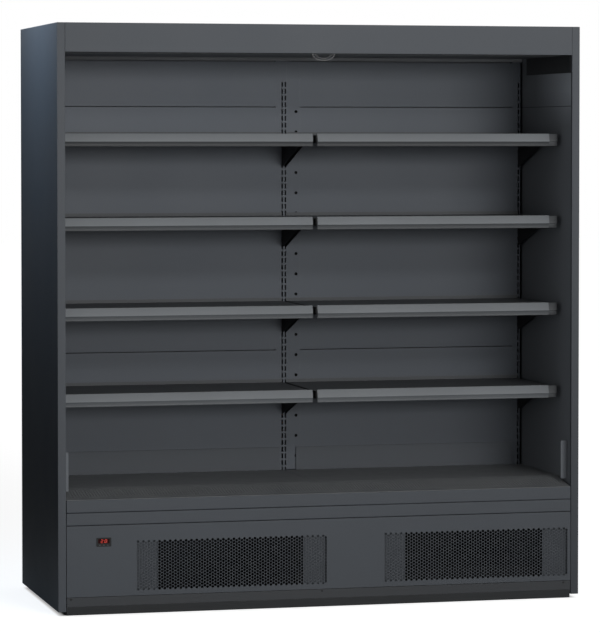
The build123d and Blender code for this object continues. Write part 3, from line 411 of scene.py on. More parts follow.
def liner_painted_light_and_shade(tree, painted, spot):
    """Painted shade near black in the machine compartment; painted light paler towards its top and front edge.
    """
    forward = between(tree, spot["Y"], -0.36, 0.05, 1.0, 0.1)
    upper = between(tree, spot["Z"], 1.70, 1.83, 0.6, 2.8)
    painted = faded(tree, painted, maths(tree, "MULTIPLY_ADD", forward, upper, 1.0))
    painted = mixed(tree, between(tree, spot["Z"], *PAINTED_SHADE_FADE), painted, COMPARTMENT_PAINTED_SHADE)
    return mixed(tree, maths(tree, "COMPARE", spot["Z"], LINER_JOINT, JOINT_HALF), painted, JOINT_BLACK)


def compartment_painted_shade_tone(tree, painted, spot):
    """Painted shade: near black where a finish faces the machine compartment."""
    inside = between(tree, maths(tree, "ABSOLUTE", spot["X"]), *PANEL_INSIDE)
    inside = maths(tree, "MULTIPLY", inside, between(tree, spot["Y"], *PANEL_FRONT))
    inside = maths(tree, "MULTIPLY", inside, between(tree, spot["Z"], *PAINTED_SHADE_FADE))
    return mixed(tree, inside, painted, COMPARTMENT_PAINTED_SHADE)


def wall_painted_light_and_shade(tree, painted, spot):
    """Painted light and shade: the back wall is a little paler at the top left and a little deeper at the
    right.
    """
    reach = between(tree, spot["X"], -0.9, 0.9, 0.34, 0.06)
    share = between(tree, spot["X"], -0.2, 0.9, 1.0, 0.87)
    return faded(tree, painted, maths(tree, "MULTIPLY_ADD", reach, between(tree, spot["Z"], 1.35, 1.78), share))


def facing(tree, axis):
    """1 where a surface faces the low end of an axis, and 0 elsewhere."""
    return between(tree, axes(tree, place(tree, "TexCoord").outputs["Normal"])[axis], -0.5, -0.8)


def left_side_painted_shade(tree, painted, spot):
    """Painted shade: the outside of the left panel is darker towards the floor; its front edge isn't."""
    loss = maths(tree, "MULTIPLY", facing(tree, "X"), between(tree, spot["Z"], 0.1, 1.0, 0.65, 0.0))
    return faded(tree, painted, maths(tree, "SUBTRACT", 1.0, loss))


retoned("liner_coat_painted_light_and_shade", liner_painted_light_and_shade)
retoned("wall_coat_painted_light_and_shade", wall_painted_light_and_shade)
for name in ("rigid_foam", "left_panel_coat_painted_shade", "right_panel_coat_painted_shade"):
    retoned(name, compartment_painted_shade_tone)
retoned("left_panel_coat_painted_shade", left_side_painted_shade)
# Painted shade: the rear sheets' inner face is near black.
retoned("rear_sheet", lambda tree, painted, spot: mixed(tree, facing(tree, "Y"), painted, REAR_PAINTED_SHADE))
# Painted shade: the right end panel gets deeper towards the floor.
retoned("right_panel_coat_painted_shade", lambda tree, painted, spot: faded(
    tree, painted, between(tree, spot["Z"], 0.15, 1.8, 0.70, 0.97)))
# Painted light: the rails' lips are paler on the lower shelves and deeper on the top one.
retoned("rail_lip_painted_light", lambda tree, painted, spot: faded(
    tree, painted, between(tree, spot["Z"], 0.72, 1.64, 1.75, 0.72)))

SPECIAL = {
    "wall_coat_painted_light_and_shade": ("back_panels", "cable_strip", "upright_middle", "side_uprights"),
    "liner_coat_painted_light_and_shade": ("inner_liners", "side_upstands"),
    # Painted light: the canopy underside's pale coat makes the face that looks down read as lit.
    "underside_coat_painted_light": ("canopy_underside",),
    "side_plate_coat": ("canopy_side_plates",),
    "kick_coat_painted_shade": ("kick_plate",),
    "plinth_coat_painted_shade": ("kick_skirt",),
    "anthracite_powder_coat": ("panel_baffle",),
    "right_panel_coat_painted_shade": ("end_panel_right",),
    "left_panel_coat_painted_shade": ("end_panel_left",),
    "black_enamel": ("compressor",),
    "compartment_coat_painted_shade": ("base_tray", "fan_shroud", "condensate_tray", "tank_shell", "electrical_box", "fan_motors"),
}
special_of = {node_name: look for look, node_names in SPECIAL.items() for node_name in node_names}
for node_name, part in frame["nodes"].items():
    part.data.materials.clear()
    part.data.materials.append(finish[special_of.get(node_name, slot_of[node_name])])
print("nodes with a finish of their own", len(special_of))

# %% [markdown]
# ## Helpers for pieces
# A piece is a mesh that rides on one of the frame's bodies and wears one of its finishes. Sheet metal
# and extrusions are one outline pushed along an axis. Turned things such as screws, grommets and fan
# hubs are a profile spun around an axis. Bent rod and pipe are a ring of points carried along a path.


# %% Piece helpers
def keep_piece(name, bm, slot, replaces=(), look=None, smooth=None, body="cabinet", weld=False):
    """Make a piece from a bmesh, put it on a body and give it its finish."""
    if weld:
        bmesh.ops.remove_doubles(bm, verts=bm.verts, dist=1e-7)
    bmesh.ops.recalc_face_normals(bm, faces=bm.faces)
    mesh = bpy.data.meshes.new(name)
    bm.to_mesh(mesh)
    bm.free()
    if smooth:
        mesh.polygons.foreach_set("use_smooth", [True] * len(mesh.polygons))
        mesh.set_sharp_from_angle(angle=math.radians(smooth))
    made = shown(name, mesh)
    mesh.materials.append(finish[look or slot])
    if body:
        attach(made, body)
    if replaces:
        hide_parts(*replaces)
    return made


def prism(bm, outline, low, high, axis):
    """A closed prism: an outline across an axis, between two places on that axis."""
    order = {"x": lambda a, b, t: (t, a, b), "y": lambda a, b, t: (a, t, b), "z": lambda a, b, t: (a, b, t)}
    rings = [[bm.verts.new(order[axis](a, b, t)) for a, b in outline] for t in (low, high)]
    bm.faces.new(rings[0])
    bm.faces.new(rings[1][::-1])
    loft(bm, rings, False)


def loft(bm, rings, around=True):
    """Faces between rings of points; around also joins the last ring to the first."""
    count = len(rings[0])
    pairs = list(zip(rings, rings[1:])) + ([(rings[-1], rings[0])] if around else [])
    for one, two in pairs:
        for i in range(count):
            j = (i + 1) % count
            bm.faces.new((one[i], one[j], two[j], two[i]))


def rectangle(a, b):
    """The four corners between the ends of two pairs."""
    return [(a[0], b[0]), (a[1], b[0]), (a[1], b[1]), (a[0], b[1])]


def block(bm, x, y, z):
    """A closed block between the ends of three pairs."""
    prism(bm, rectangle(x, y), *z, "z")


def middle_of(low, high):
    """The place halfway between two corners."""
    return [(a + b) / 2 for a, b in zip(low, high)]


def turned(bm, profile, centre, along, sides=24):
    """Spin a closed profile of (radius, distance) points around an axis through a centre."""
    along = Vector(along).normalized()
    across = along.orthogonal().normalized()
    third = along.cross(across)
    rings = []
    for i in range(sides):
        turn = 2 * math.pi * i / sides
        out = across * math.cos(turn) + third * math.sin(turn)
        rings.append([bm.verts.new(Vector(centre) + out * r + along * t) for r, t in profile])
    loft(bm, rings)


def drum(inner, outer, low, high):
    """The profile of a plain disc, drum or sleeve."""
    return rectangle((inner, outer), (low, high))


def smoothed(points, rounds=3):
    """Round off the corners of a path by cutting each one again and again."""
    points = [Vector(p) for p in points]
    for _ in range(rounds):
        inner = []
        for a, b in zip(points, points[1:]):
            inner += [a.lerp(b, 0.25), a.lerp(b, 0.75)]
        points = [points[0], *inner[1:-1], points[-1]]
    return points


def rod_along(bm, points, radius, sides=12):
    """A closed rod with capped ends along a path."""
    rings, across = [], None
    for i, point in enumerate(points):
        ahead = (points[min(i + 1, len(points) - 1)] - points[max(i - 1, 0)]).normalized()
        across = ahead.orthogonal() if across is None else across - ahead * across.dot(ahead)
        across.normalize()
        third = ahead.cross(across)
        rings.append([bm.verts.new(point + (across * math.cos(t) + third * math.sin(t)) * radius)
                      for t in (2 * math.pi * j / sides for j in range(sides))])
    loft(bm, rings, False)
    bm.faces.new(rings[0][::-1])
    bm.faces.new(rings[-1])


def ring_of(centre, radius, sides, turn=0.0):
    """Points around a circle, turning from the first axis to the second."""
    return [(centre[0] + radius * math.cos(turn + 2 * math.pi * i / sides),
             centre[1] + radius * math.sin(turn + 2 * math.pi * i / sides)) for i in range(sides)]


def punched(bm, outline, holes, to_space, thick):
    """A flat sheet with holes. to_space turns (a, b, depth) into a place; depth runs 0 to thick."""
    points, faces = [], []
    for loop in (outline, *holes):
        faces.append(list(range(len(points), len(points) + len(loop))))
        points += [Vector(p) for p in loop]
    found, _, triangles, _, _, owners = delaunay_2d_cdt(points, [], faces, 1, 1e-7)
    sheet = [tri for tri, owner in zip(triangles, owners) if list(owner) == [0]]
    front = [bm.verts.new(to_space(p.x, p.y, 0.0)) for p in found]
    back = [bm.verts.new(to_space(p.x, p.y, thick)) for p in found]
    rims = {}
    for tri in sheet:
        bm.faces.new([front[i] for i in tri])
        bm.faces.new([back[i] for i in reversed(tri)])
        for i, j in zip(tri, (*tri[1:], tri[0])):
            if (j, i) in rims:
                del rims[j, i]
            else:
                rims[i, j] = True
    for i, j in rims:
        bm.faces.new((front[j], front[i], back[i], back[j]))
    bmesh.ops.delete(bm, geom=[v for v in (*front, *back) if not v.link_faces], context="VERTS")


MM = 0.001
sheet_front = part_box("service_panel")[0].y
print("front sheets stand at y =", round(sheet_front, 4))

# %% [markdown]
# ## Service panel
# The machine compartment breathes through two fields of round holes, a centimetre across, in staggered
# columns. Each hole is cut in the mesh, because its edge catches light from the side and the dark
# coil behind has to show through. The sheet is folded back at all four edges.

# %% Service panel
HOLE, COLUMN, ROW = 10.0 * MM, 9.526 * MM, 11.0 * MM
HOLE_FIELDS = ((-0.674, 0.014), (0.221, 0.912))
FIELD_HEIGHTS = (0.080, 0.260)
CONTROLLER, CONTROLLER_HALF = (-0.7895, 0.2552), (0.0235, 0.01275)
SHEET = 1.5 * MM


def hole_field(span, heights, hole, column, row, sides=10):
    """Staggered round holes that fill a rectangle."""
    columns = int((span[1] - span[0] - hole) / column) + 1
    start = (span[0] + span[1] - column * (columns - 1)) / 2
    holes = []
    for i in range(columns):
        rows = int((heights[1] - heights[0] - hole) / row) + 1 - i % 2
        low = (heights[0] + heights[1] - row * (rows - 1)) / 2
        holes += [ring_of((start + i * column, low + j * row), hole / 2, sides) for j in range(rows)]
    return holes


low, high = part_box("service_panel")
holes = [hole for span in HOLE_FIELDS for hole in hole_field(span, FIELD_HEIGHTS, HOLE, COLUMN, ROW)]
cut = [(CONTROLLER[0] + x * CONTROLLER_HALF[0], CONTROLLER[1] + z * CONTROLLER_HALF[1])
       for x, z in rectangle((-1, 1), (-1, 1))]
across, fold = (low.x, high.x), (low.y + SHEET, high.y)
bm = bmesh.new()
punched(bm, rectangle(across, (low.z, high.z)), [*holes, cut], lambda x, z, deep: (x, low.y + deep, z), SHEET)
for z in (low.z, high.z - SHEET):
    block(bm, across, fold, (z, z + SHEET))
for x in (low.x, high.x - SHEET):
    block(bm, (x, x + SHEET), fold, (low.z + SHEET, high.z - SHEET))
keep_piece("perforated_service_panel", bm, "anthracite_powder_coat", ["service_panel"])
print("service panel with", len(holes), "holes")

# %% [markdown]
# ## Return air grille
# The sloping strip in front of the deck draws the air curtain back in. It is punched with finer holes
# than the service panel, and keeps a plain border and folded edges.

# %% Return air grille
SLOPE_FOOT, SLOPE_TOP = 0.404, 0.430
GRILLE_HOLE, GRILLE_COLUMN, GRILLE_ROW = 6.0 * MM, 10.4 * MM, 12.0 * MM
BORDER_X, BORDER_SLOPE = 20 * MM, 22 * MM
low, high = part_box("return_air_grille")
rise = math.atan2(SLOPE_TOP - SLOPE_FOOT, (high.y - low.y))
run = (high.y - low.y) / math.cos(rise)


def on_slope(x, along, depth):
    """A place on the sloping strip: along from its front rim, depth below its face."""
    return (x, low.y + along * math.cos(rise) + depth * math.sin(rise),
            SLOPE_FOOT + along * math.sin(rise) - depth * math.cos(rise))


holes = hole_field((low.x + BORDER_X, high.x - BORDER_X), (BORDER_SLOPE, run - BORDER_SLOPE),
                   GRILLE_HOLE, GRILLE_COLUMN, GRILLE_ROW, 8)
across = (low.x, high.x)
bm = bmesh.new()
punched(bm, rectangle(across, (0.0, run)), holes, on_slope, SHEET)
block(bm, across, (high.y - SHEET, high.y), (low.z + 12.5 * MM, SLOPE_TOP - 1.7 * MM))
block(bm, across, (low.y, low.y + SHEET), (low.z, SLOPE_FOOT - 1.6 * MM))
keep_piece("punched_air_grille", bm, "deck_powder_coat", ["return_air_grille"])
print("air grille with", len(holes), "holes")

# %% [markdown]
# ## Air outlet
# Cold air leaves the canopy through a moulded honeycomb that straightens it into a curtain. The cells
# are twelve millimetres apart and two centimetres deep, and they show when one looks up under the edge.

# %% Air outlet honeycomb
low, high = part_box("air_outlet_grid")
CELL = 12.0 * MM
CELL_ROW = CELL * 0.866
cells = []
for j in range(4):
    shift = CELL / 2 * (j % 2)
    count = int((high.x - low.x - 0.02 - shift) / CELL)
    start = -CELL * (count - 1) / 2
    y = (low.y + high.y) / 2 + (j - 1.5) * CELL_ROW
    cells += [ring_of((start + CELL * i + shift / 2, y), CELL * 0.51, 6, math.pi / 6) for i in range(count)]
bm = bmesh.new()
punched(bm, rectangle((low.x, high.x), (low.y, high.y)), cells, lambda x, y, deep: (x, y, high.z - deep),
        high.z - low.z)
keep_piece("air_outlet_honeycomb", bm, "black_moulding", ["air_outlet_grid"])
print("air outlet with", len(cells), "cells")

# %% [markdown]
# ## Price rails
# Each shelf carries an extruded rail. Its leaning band holds the price tickets, and a darker lip under
# it is stepped back, with a rolled foot. The outlines are pushed along X. The right end of each right
# rail has a rounded moulded cap, and the other ends are cut plain.

# %% Price rails and caps
rail_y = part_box("price_rails")[0].y
shelf_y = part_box("shelves_row_1")[0].y
rail_in, rail_out = 0.0090, 0.9077
CAP = 0.032


# Each point is an edge that it is measured from, millimetres behind it and millimetres below the top.
BAND = ((shelf_y, 0, 1), (shelf_y, -1, 0.2), (shelf_y, -2.2, 0), (shelf_y, -3.2, 0.7), (rail_y, 0.5, 27.2),
        (rail_y, 0, 28.1), (rail_y, 0.6, 28.9), (rail_y, 2.2, 28.9), (shelf_y, -1.2, 3.5), (shelf_y, 0, 3.5))
LIP = ((rail_y, 2.4, 28.5), (rail_y, 4, 31), (rail_y, 4, 41.5), (rail_y, 3.1, 42.5), (rail_y, 3, 44.2),
       (rail_y, 3.8, 45), (shelf_y, 0, 45), (shelf_y, 0, 43.5), (rail_y, 5.5, 43.5), (rail_y, 5.5, 31),
       (rail_y, 4.5, 28.5))


def rail_cap(bm, z):
    """Moulded cap: a rounded nose that follows the rail round to the shelf's end."""
    rings = []
    for drop, inset in ((0.0012, 0.0016), (0.0022, 0.0), (0.0280, 0.0), (0.0290, 0.0012), (0.0300, 0.0030),
                        (0.0432, 0.0030), (0.0444, 0.0044)):
        ring = [(rail_out - CAP, shelf_y)]
        for i in range(13):
            turn = math.pi / 2 * i / 12
            lean = 0.0065 * max(0.0, 1 - drop / 0.028)
            reach = shelf_y - 0.002 - (rail_y + inset + lean)
            ring.append((rail_out - CAP + (CAP - inset) * math.sin(turn) ** 0.8,
                         shelf_y - 0.002 - reach * math.cos(turn) ** 0.55))
        ring.append((rail_out - inset, shelf_y))
        rings.append([bm.verts.new((x, y, z - drop)) for x, y in ring])
    loft(bm, rings, False)
    bm.faces.new(rings[0])
    bm.faces.new(rings[-1][::-1])


SHELF_TOPS = (1.675, 1.379, 1.063, 0.762)
bands, lips, caps = bmesh.new(), bmesh.new(), bmesh.new()
for z in SHELF_TOPS:
    for span in ((-rail_out, -rail_in), (rail_in, rail_out - CAP)):
        for bm, section in ((bands, BAND), (lips, LIP)):
            prism(bm, [(y + behind * MM, z - below * MM) for y, behind, below in section], *span, "x")
    rail_cap(caps, z)
keep_piece("rail_bands", bands, "rail_profile", ["price_rails"], smooth=40)
keep_piece("rail_lips", lips, "rail_profile", look="rail_lip_painted_light", smooth=40)
keep_piece("rounded_rail_caps", caps, "rail_cap", ["rail_end_caps"], smooth=50)
print("rails", 2 * len(SHELF_TOPS), "caps", len(SHELF_TOPS))

# %% [markdown]
# ## Night blind
# The cloth is wound on a sprung tube behind the fascia. It is one strip, coiled outwards in about
# thirteen turns, with air between the turns, so a spiral is drawn in the plane across the tube and
# given the cloth's thickness. A short web of the same cloth runs down to the pull bar. The bail handle
# is a bent rod with two collars and a thinner bow inside it.

# %% Blind cloth, web and handle
roll_low, roll_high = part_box("blind_roll")
_, roll_y, roll_z = middle_of(roll_low, roll_high)
INNER, OUTER, CLOTH = 0.0154, 0.0249, 0.4 * MM
TURNS, TURN_STEPS = 12.7, 28

bm = bmesh.new()
strips = []
for i in range(int(TURNS * TURN_STEPS) + 1):
    turn = math.pi + 2 * math.pi * (TURNS - i / TURN_STEPS)
    radius = OUTER - (OUTER - INNER) * i / (TURNS * TURN_STEPS)
    corners = ((roll_low.x, radius), (roll_high.x, radius), (roll_high.x, radius - CLOTH),
               (roll_low.x, radius - CLOTH))
    strips.append([bm.verts.new((x, roll_y + r * math.cos(turn), roll_z - r * math.sin(turn)))
                   for x, r in corners])
loft(bm, strips, False)
bm.faces.new(strips[0])
bm.faces.new(strips[-1][::-1])
cloth_roll = keep_piece("wound_blind_cloth", bm, "blind_fabric", ["blind_roll"], smooth=40, body="blind_roller")

web_low, web_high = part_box("blind_web")
bm = bmesh.new()
columns, rows = 44, 4
rings = []
for j in range(rows + 1):
    z = web_low.z + (web_high.z - web_low.z) * j / rows
    places = [web_low.x + (web_high.x - web_low.x) * i / columns for i in range(columns + 1)]
    rings.append([bm.verts.new((x, web_low.y, z)) for x in places]
                 + [bm.verts.new((x, web_high.y, z)) for x in reversed(places)])
loft(bm, rings, False)
for ring in (rings[0], rings[-1]):
    for i in range(columns):
        bm.faces.new((ring[i], ring[i + 1], ring[-2 - i], ring[-1 - i]))
cloth_web = keep_piece("blind_cloth_web", bm, "blind_fabric", ["blind_web"], body=None)
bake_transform(cloth_web)

low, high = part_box("blind_handle")
middle = middle_of(low, high)
half_bail, rod_r = (high.x - low.x) / 2, (high.y - low.y) / 2


def bow(bm, half, radius, sides):
    """A bent rod: the left half of its path, as (X, Z), and the same mirrored."""
    path = half + [(-x, z) for x, z in reversed(half)]
    rod_along(bm, smoothed([(middle[0] + x, middle[1], z) for x, z in path], 2), radius, sides)


bm = bmesh.new()
bow(bm, [(-half_bail + rod_r, high.z - 0.0005), (-half_bail + rod_r, high.z - 0.008),
         (-half_bail + 0.0165, low.z + 0.0055), (-0.008, low.z + rod_r)], rod_r, 12)
for side in (-1, 1):      # the collars
    turned(bm, [(0.0012, 0.0), (0.0036, 0.0), (0.0036, 0.0022), (0.0028, 0.0034), (0.0012, 0.0034)],
           (middle[0] + side * (half_bail - 0.0042), middle[1], high.z - 0.0036), (0, 0, 1), 16)
bow(bm, [(-half_bail + 0.0045, high.z - 0.0006), (-half_bail + 0.013, high.z - 0.0062),
         (-0.012, low.z + 0.0088)], 0.0013, 8)
keep_piece("bail_handle", bm, "handle_moulding", ["blind_handle"], smooth=50, body="blind_puller")
print("cloth", round(roll_high.x - roll_low.x, 3), "x 1.6 m, handle", round(2 * half_bail, 3), "m wide")

# %% [markdown]
# ## Controller face
# The display shows two red digits made of seven bars each, as a thermostat does. The bars are thin
# plates on the smoked window, and glow. Each key carries a small raised mark: an arrow down, a dot
# for set, and an arrow up.

# %% Digits and key marks
BARS = {"0": "abcdef", "1": "bc", "2": "abged", "3": "abgcd", "4": "fgbc", "5": "afgcd", "6": "afgedc",
        "7": "abc", "8": "abcdefg", "9": "abcdfg"}
DIGIT_STEP, DIGIT_WIDE, DIGIT_TALL, MARK = 13.5 * MM, 7.2 * MM, 10.0 * MM, 1.5 * MM
tree, shader = new_material("digit_red", (0.5, 0.01, 0.005), 0.4)
grain = use_group(tree, "surface_texture", Grain_Size=0.0004, Grain_Depth=0.3, Wave_Depth=0.0)["Fine"]
wire(shader, Emission_Color=mixed(tree, grain, (0.9, 0.03, 0.01, 1), (1.0, 0.09, 0.03, 1)))
shader["Emission Strength"].default_value = 0.32


def digit(bm, text, x, z, wide, tall, y):
    """Seven-bar digit with slanted bars, its middle at x and z."""
    thick, gap = wide * 0.2, wide * 0.06
    w, t = wide / 2, tall / 2
    places = {"a": ((-w, t), (w, t)), "g": ((-w, 0), (w, 0)), "d": ((-w, -t), (w, -t)),
              "f": ((-w, 0), (-w, t)), "b": ((w, 0), (w, t)), "e": ((-w, -t), (-w, 0)), "c": ((w, -t), (w, 0))}
    for bar in BARS[text]:
        a, b = (Vector(p) for p in places[bar])
        way = (b - a).normalized()
        a, b, side = a + way * gap, b - way * gap, Vector((-way.y, way.x)) * thick / 2
        shape = [a, a + way * thick / 2 + side, b - way * thick / 2 + side, b,
                 b - way * thick / 2 - side, a + way * thick / 2 - side]
        prism(bm, [(x + p.x + 0.08 * p.y, z + p.y) for p in shape], y - 0.00025, y + 0.0002, "y")


low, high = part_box("controller_display")
x, _, z = middle_of(low, high)
bm = bmesh.new()
for i, text in enumerate("28"):
    digit(bm, text, x + (i - 0.5) * DIGIT_STEP, z, DIGIT_WIDE, DIGIT_TALL, low.y)
turned(bm, drum(0.0, 0.0007, -0.0002, 0.0002), (x, low.y, z - 0.005), (0, 1, 0), 10)
keep_piece("display_digits", bm, "display_window", look="digit_red", weld=True)
for node_name, body, mark in (("key_down", "down_key", [(-1, 0.6), (1, 0.6), (0, -0.8)]),
                              ("key_set", "set_key", ring_of((0, 0), 0.7, 10)),
                              ("key_up", "up_key", [(-1, -0.6), (0, 0.8), (1, -0.6)])):
    low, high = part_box(node_name)
    x, _, z = middle_of(low, high)
    bm = bmesh.new()
    prism(bm, [(x + a * MARK, z + b * MARK) for a, b in mark], low.y - 0.00001, low.y + 0.0003, "y")
    keep_piece(node_name + "_mark", bm, "key_rubber", look="key_mark", body=body)
print("digits and three key marks")

# %% [markdown]
# ## Grommets and screws
# The cable strip has a column of round plug holes, each with a black rubber grommet. The kick plate is
# held by three pan-head screws with a recess. Both are turned profiles.

# %% Grommets and kick screws
strip_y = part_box("cable_strip")[0].y
PLUG_HOLES = [(0.0464, strip_y, 0.482 + 0.075 * i) for i in range(18)]
profile = [(0.0018, 0.0), (0.0026, -0.0010), (0.0042, -0.0013), (0.0054, -0.0008), (0.0057, 0.0),
           (0.0026, 0.0), (0.0026, 0.0032), (0.0018, 0.0032)]
bm = bmesh.new()
for hole in PLUG_HOLES:
    turned(bm, profile, hole, (0, 1, 0), 20)
keep_piece("plug_hole_grommets", bm, "black_moulding", look="rubber_black", smooth=40)
# Painted shade: near-black blanking plugs fill the plug holes, standing in for the dark inside them.
bm = bmesh.new()
for hole in PLUG_HOLES:
    turned(bm, drum(0.0, 0.00185, 0.0012, 0.0028), hole, (0, 1, 0), 12)
keep_piece("blanking_plugs_painted_shade", bm, "black_moulding", look="rubber_black", smooth=40, weld=True)

low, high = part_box("kick_screws")
SCREW_XS = (-0.905, -0.005, 0.893)
z, r, thick = middle_of(low, high)[2], 0.0034, high.y - low.y
profile = [(0.0, thick), (r, thick), (r, thick * 0.45), (r * 0.86, thick * 0.15), (r * 0.6, 0.0),
           (r * 0.42, 0.0), (r * 0.34, thick * 0.6), (0.0, thick * 0.6)]
bm = bmesh.new()
for x in SCREW_XS:
    turned(bm, profile, (x, low.y, z), (0, 1, 0), 24)
keep_piece("recessed_kick_screws", bm, "zinc_screw", ["kick_screws"], look="black_moulding", smooth=35,
           weld=True)
print(len(PLUG_HOLES), "grommets,", len(SCREW_XS), "screws")

# %% [markdown]
# ## Coils
# A fin coil is a pack of thin aluminium plates on rows of copper tube, with end plates and hairpin
# bends outside them. The condenser's fins and tubes are near black, as painted shade, so it shows as
# a dark ribbed mass behind the left hole field, and the evaporator stands in the duct behind the back
# wall. Both are drawn plate by plate.


# %% Fin coils
def fin_coil(name, node, pitch, tube_rows, foot, fin_look, tube_look):
    """Fins, end plates and tubes that fill a coil's box."""
    low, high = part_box(node)
    plate, bend = 1.2 * MM, 0.012
    x0, x1, z0 = low.x + (0.0 if foot else bend), high.x - (0.0 if foot else bend), low.z + foot
    bm = bmesh.new()
    count = int((x1 - x0 - 2 * plate) / pitch)
    for i in range(count):
        x = x0 + plate + pitch * (i + 0.5)
        block(bm, (x - 0.15 * MM, x + 0.15 * MM), (low.y, high.y), (z0, high.z - 2 * MM))
    for x in (x0, x1 - plate):
        block(bm, (x, x + plate), (low.y, high.y), (low.z, high.z))
    keep_piece(name + "_fins", bm, "aluminium_fins", [node], look=fin_look)
    bm = bmesh.new()
    steps = max(2, int((high.z - z0) / 0.028))
    for row in range(tube_rows):
        y = low.y + (high.y - low.y) * (row + 0.5) / tube_rows
        for j in range(steps):
            z = z0 + (high.z - z0) * (j + 0.5) / steps
            rod_along(bm, [Vector((x0 + 0.0005, y, z)), Vector((x1 - 0.0005, y, z))], 4.5 * MM, 10)
            if not foot and j % 2 == 0 and j + 1 < steps:
                top = z + (high.z - z0) / steps
                for x, out in ((x0, x0 - 0.010), (x1, x1 + 0.010)):
                    hairpin = smoothed([(x, y, z), (out, y, z), (out, y, top), (x, y, top)])
                    rod_along(bm, hairpin, 1.8 * MM, 8)
    keep_piece(name + "_tubes", bm, "copper_pipe", look=tube_look, smooth=50)
    print(name, "with", count, "fins")


# The condenser's fins and tubes wear the near-black painted shade.
fin_coil("condenser", "condenser_coil", 3.2 * MM, 2, 0.0, "compartment_coat_painted_shade", "compartment_coat_painted_shade")
fin_coil("evaporator", "evaporator_coil", 7.0 * MM, 3, 0.132, "coated_fins", "copper_pipe")

# %% [markdown]
# ## Fans
# An axial fan has a domed hub and swept blades that are steeper at the hub than at the tip. A blade is
# a lofted plate: six sections from hub to tip, each turned a little less and swept a little more.


# %% Fan rotors
BLADES = 5


def fan_rotor(name, node, body, axis, centre, radius, hub, thick, shaft):
    """Hub, swept blades and a shaft. The axis points to the side that the air leaves from."""
    axis = Vector(axis).normalized()
    across = axis.orthogonal().normalized()
    third = axis.cross(across)
    centre = Vector(centre)
    bm = bmesh.new()
    half = thick / 2
    turned(bm, [(0.002, -half), (hub * 0.96, -half), (hub, -half * 0.8), (hub, half * 0.5),
                (hub * 0.8, half * 0.92), (hub * 0.35, half), (0.002, half)], centre, axis, 36)
    turned(bm, drum(0.001, 0.0038, -shaft, 0.0), centre, axis, 16)
    for k in range(BLADES):
        sections = []
        for s in range(6):
            share = s / 5
            r = hub * 0.92 + (radius * 0.985 - hub * 0.92) * share
            chord = radius * (0.42 + 0.2 * share)
            pitch = math.radians(34 - 12 * share)
            middle = 2 * math.pi * k / BLADES + 0.28 * share ** 1.5
            ring = []
            for along, side in [(side * (t / 5 - 0.5), side) for side in (1, -1) for t in range(6)]:
                camber = 0.06 * chord * (1 - 4 * along * along)
                sheet = 0.0008 * (1.05 - 1.6 * along * along) * side
                flat = along * chord * math.cos(pitch)
                lift = along * chord * math.sin(pitch) + camber + sheet
                lift = max(-half * 1.02, min(half * 1.02, lift))
                turn = middle + flat / r
                ring.append(bm.verts.new(centre + (across * math.cos(turn) + third * math.sin(turn)) * r
                                         + axis * lift))
            sections.append(ring)
        loft(bm, sections, False)
        bm.faces.new(sections[0])
        bm.faces.new(sections[-1][::-1])
    keep_piece(name, bm, "black_moulding", [node], smooth=45, body=body)


joint_of = {joint["name"]: joint for joint in frame["record"]["behaviour"]["joints"]}
COLD_FAN = (0.066, 0.020, 0.014, 0.0072, 1)
for name, node, body, (radius, hub, thick, shaft, way) in (
        ("condenser_fan_rotor", "condenser_fan", "condenser_rotor", (0.096, 0.030, 0.024, 0.0235, -1)),
        ("cold_fan_rotor_left", "evaporator_fan_left", "cold_rotor_left", COLD_FAN),
        ("cold_fan_rotor_right", "evaporator_fan_right", "cold_rotor_right", COLD_FAN)):
    spin = joint_of[node + "_spin"]
    axis = Vector(spin["axis"]) * way
    centre = Vector(spin["pos_m"]) + axis * (0.002 if way > 0 else 0.0)
    fan_rotor(name, node, body, axis, centre, radius, hub, thick, shaft)
print("three fans")

# %% [markdown]
# ## Refrigerant lines and feet
# The two copper lines are drawn as smooth tube on the same route as the frame's. The feet are turned
# from steel: a round pad with a bevelled rim, a threaded stud and a lock nut.

# %% Copper lines and levelling feet
can = middle_of(*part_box("compressor"))
line_z = 0.172
can_radius = 0.0921
line_radius, bend = 0.0058, 0.030
coil_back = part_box("fan_shroud")[0].y + 0.0021
pipe_low, pipe_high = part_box("refrigerant_pipes")
right_x = can[0] + can_radius + 0.09
left_x, back_y = pipe_low.x + 0.006, pipe_high.y - 0.006
discharge = [(can[0] + can_radius - 0.004, can[1], line_z), (right_x, can[1], line_z),
             (right_x, coil_back, line_z)]
suction = [(can[0] - can_radius + 0.004, can[1], line_z), (left_x, can[1], line_z), (left_x, back_y, line_z),
           (left_x, back_y, 0.308)]


def pipe_path(points, bend):
    """A pipe's centre line: straight runs with an arc of one radius at each corner."""
    points = [Vector(p) for p in points]
    path = [points[0]]
    for before, corner, after in zip(points, points[1:], points[2:]):
        way_in, way_out = (corner - before).normalized(), (after - corner).normalized()
        start, end = corner - way_in * bend, corner + way_out * bend
        heart = start + way_out * bend
        for i in range(9):
            turn = math.pi / 2 * i / 8
            path.append(heart - way_out * bend * math.cos(turn) + way_in * bend * math.sin(turn))
        assert (path[-1] - end).length < 1e-6
    return [*path, points[-1]]


bm = bmesh.new()
for route in (discharge, suction):
    rod_along(bm, pipe_path(route, bend), line_radius, 16)
keep_piece("copper_lines", bm, "copper_pipe", ["refrigerant_pipes"], smooth=50)

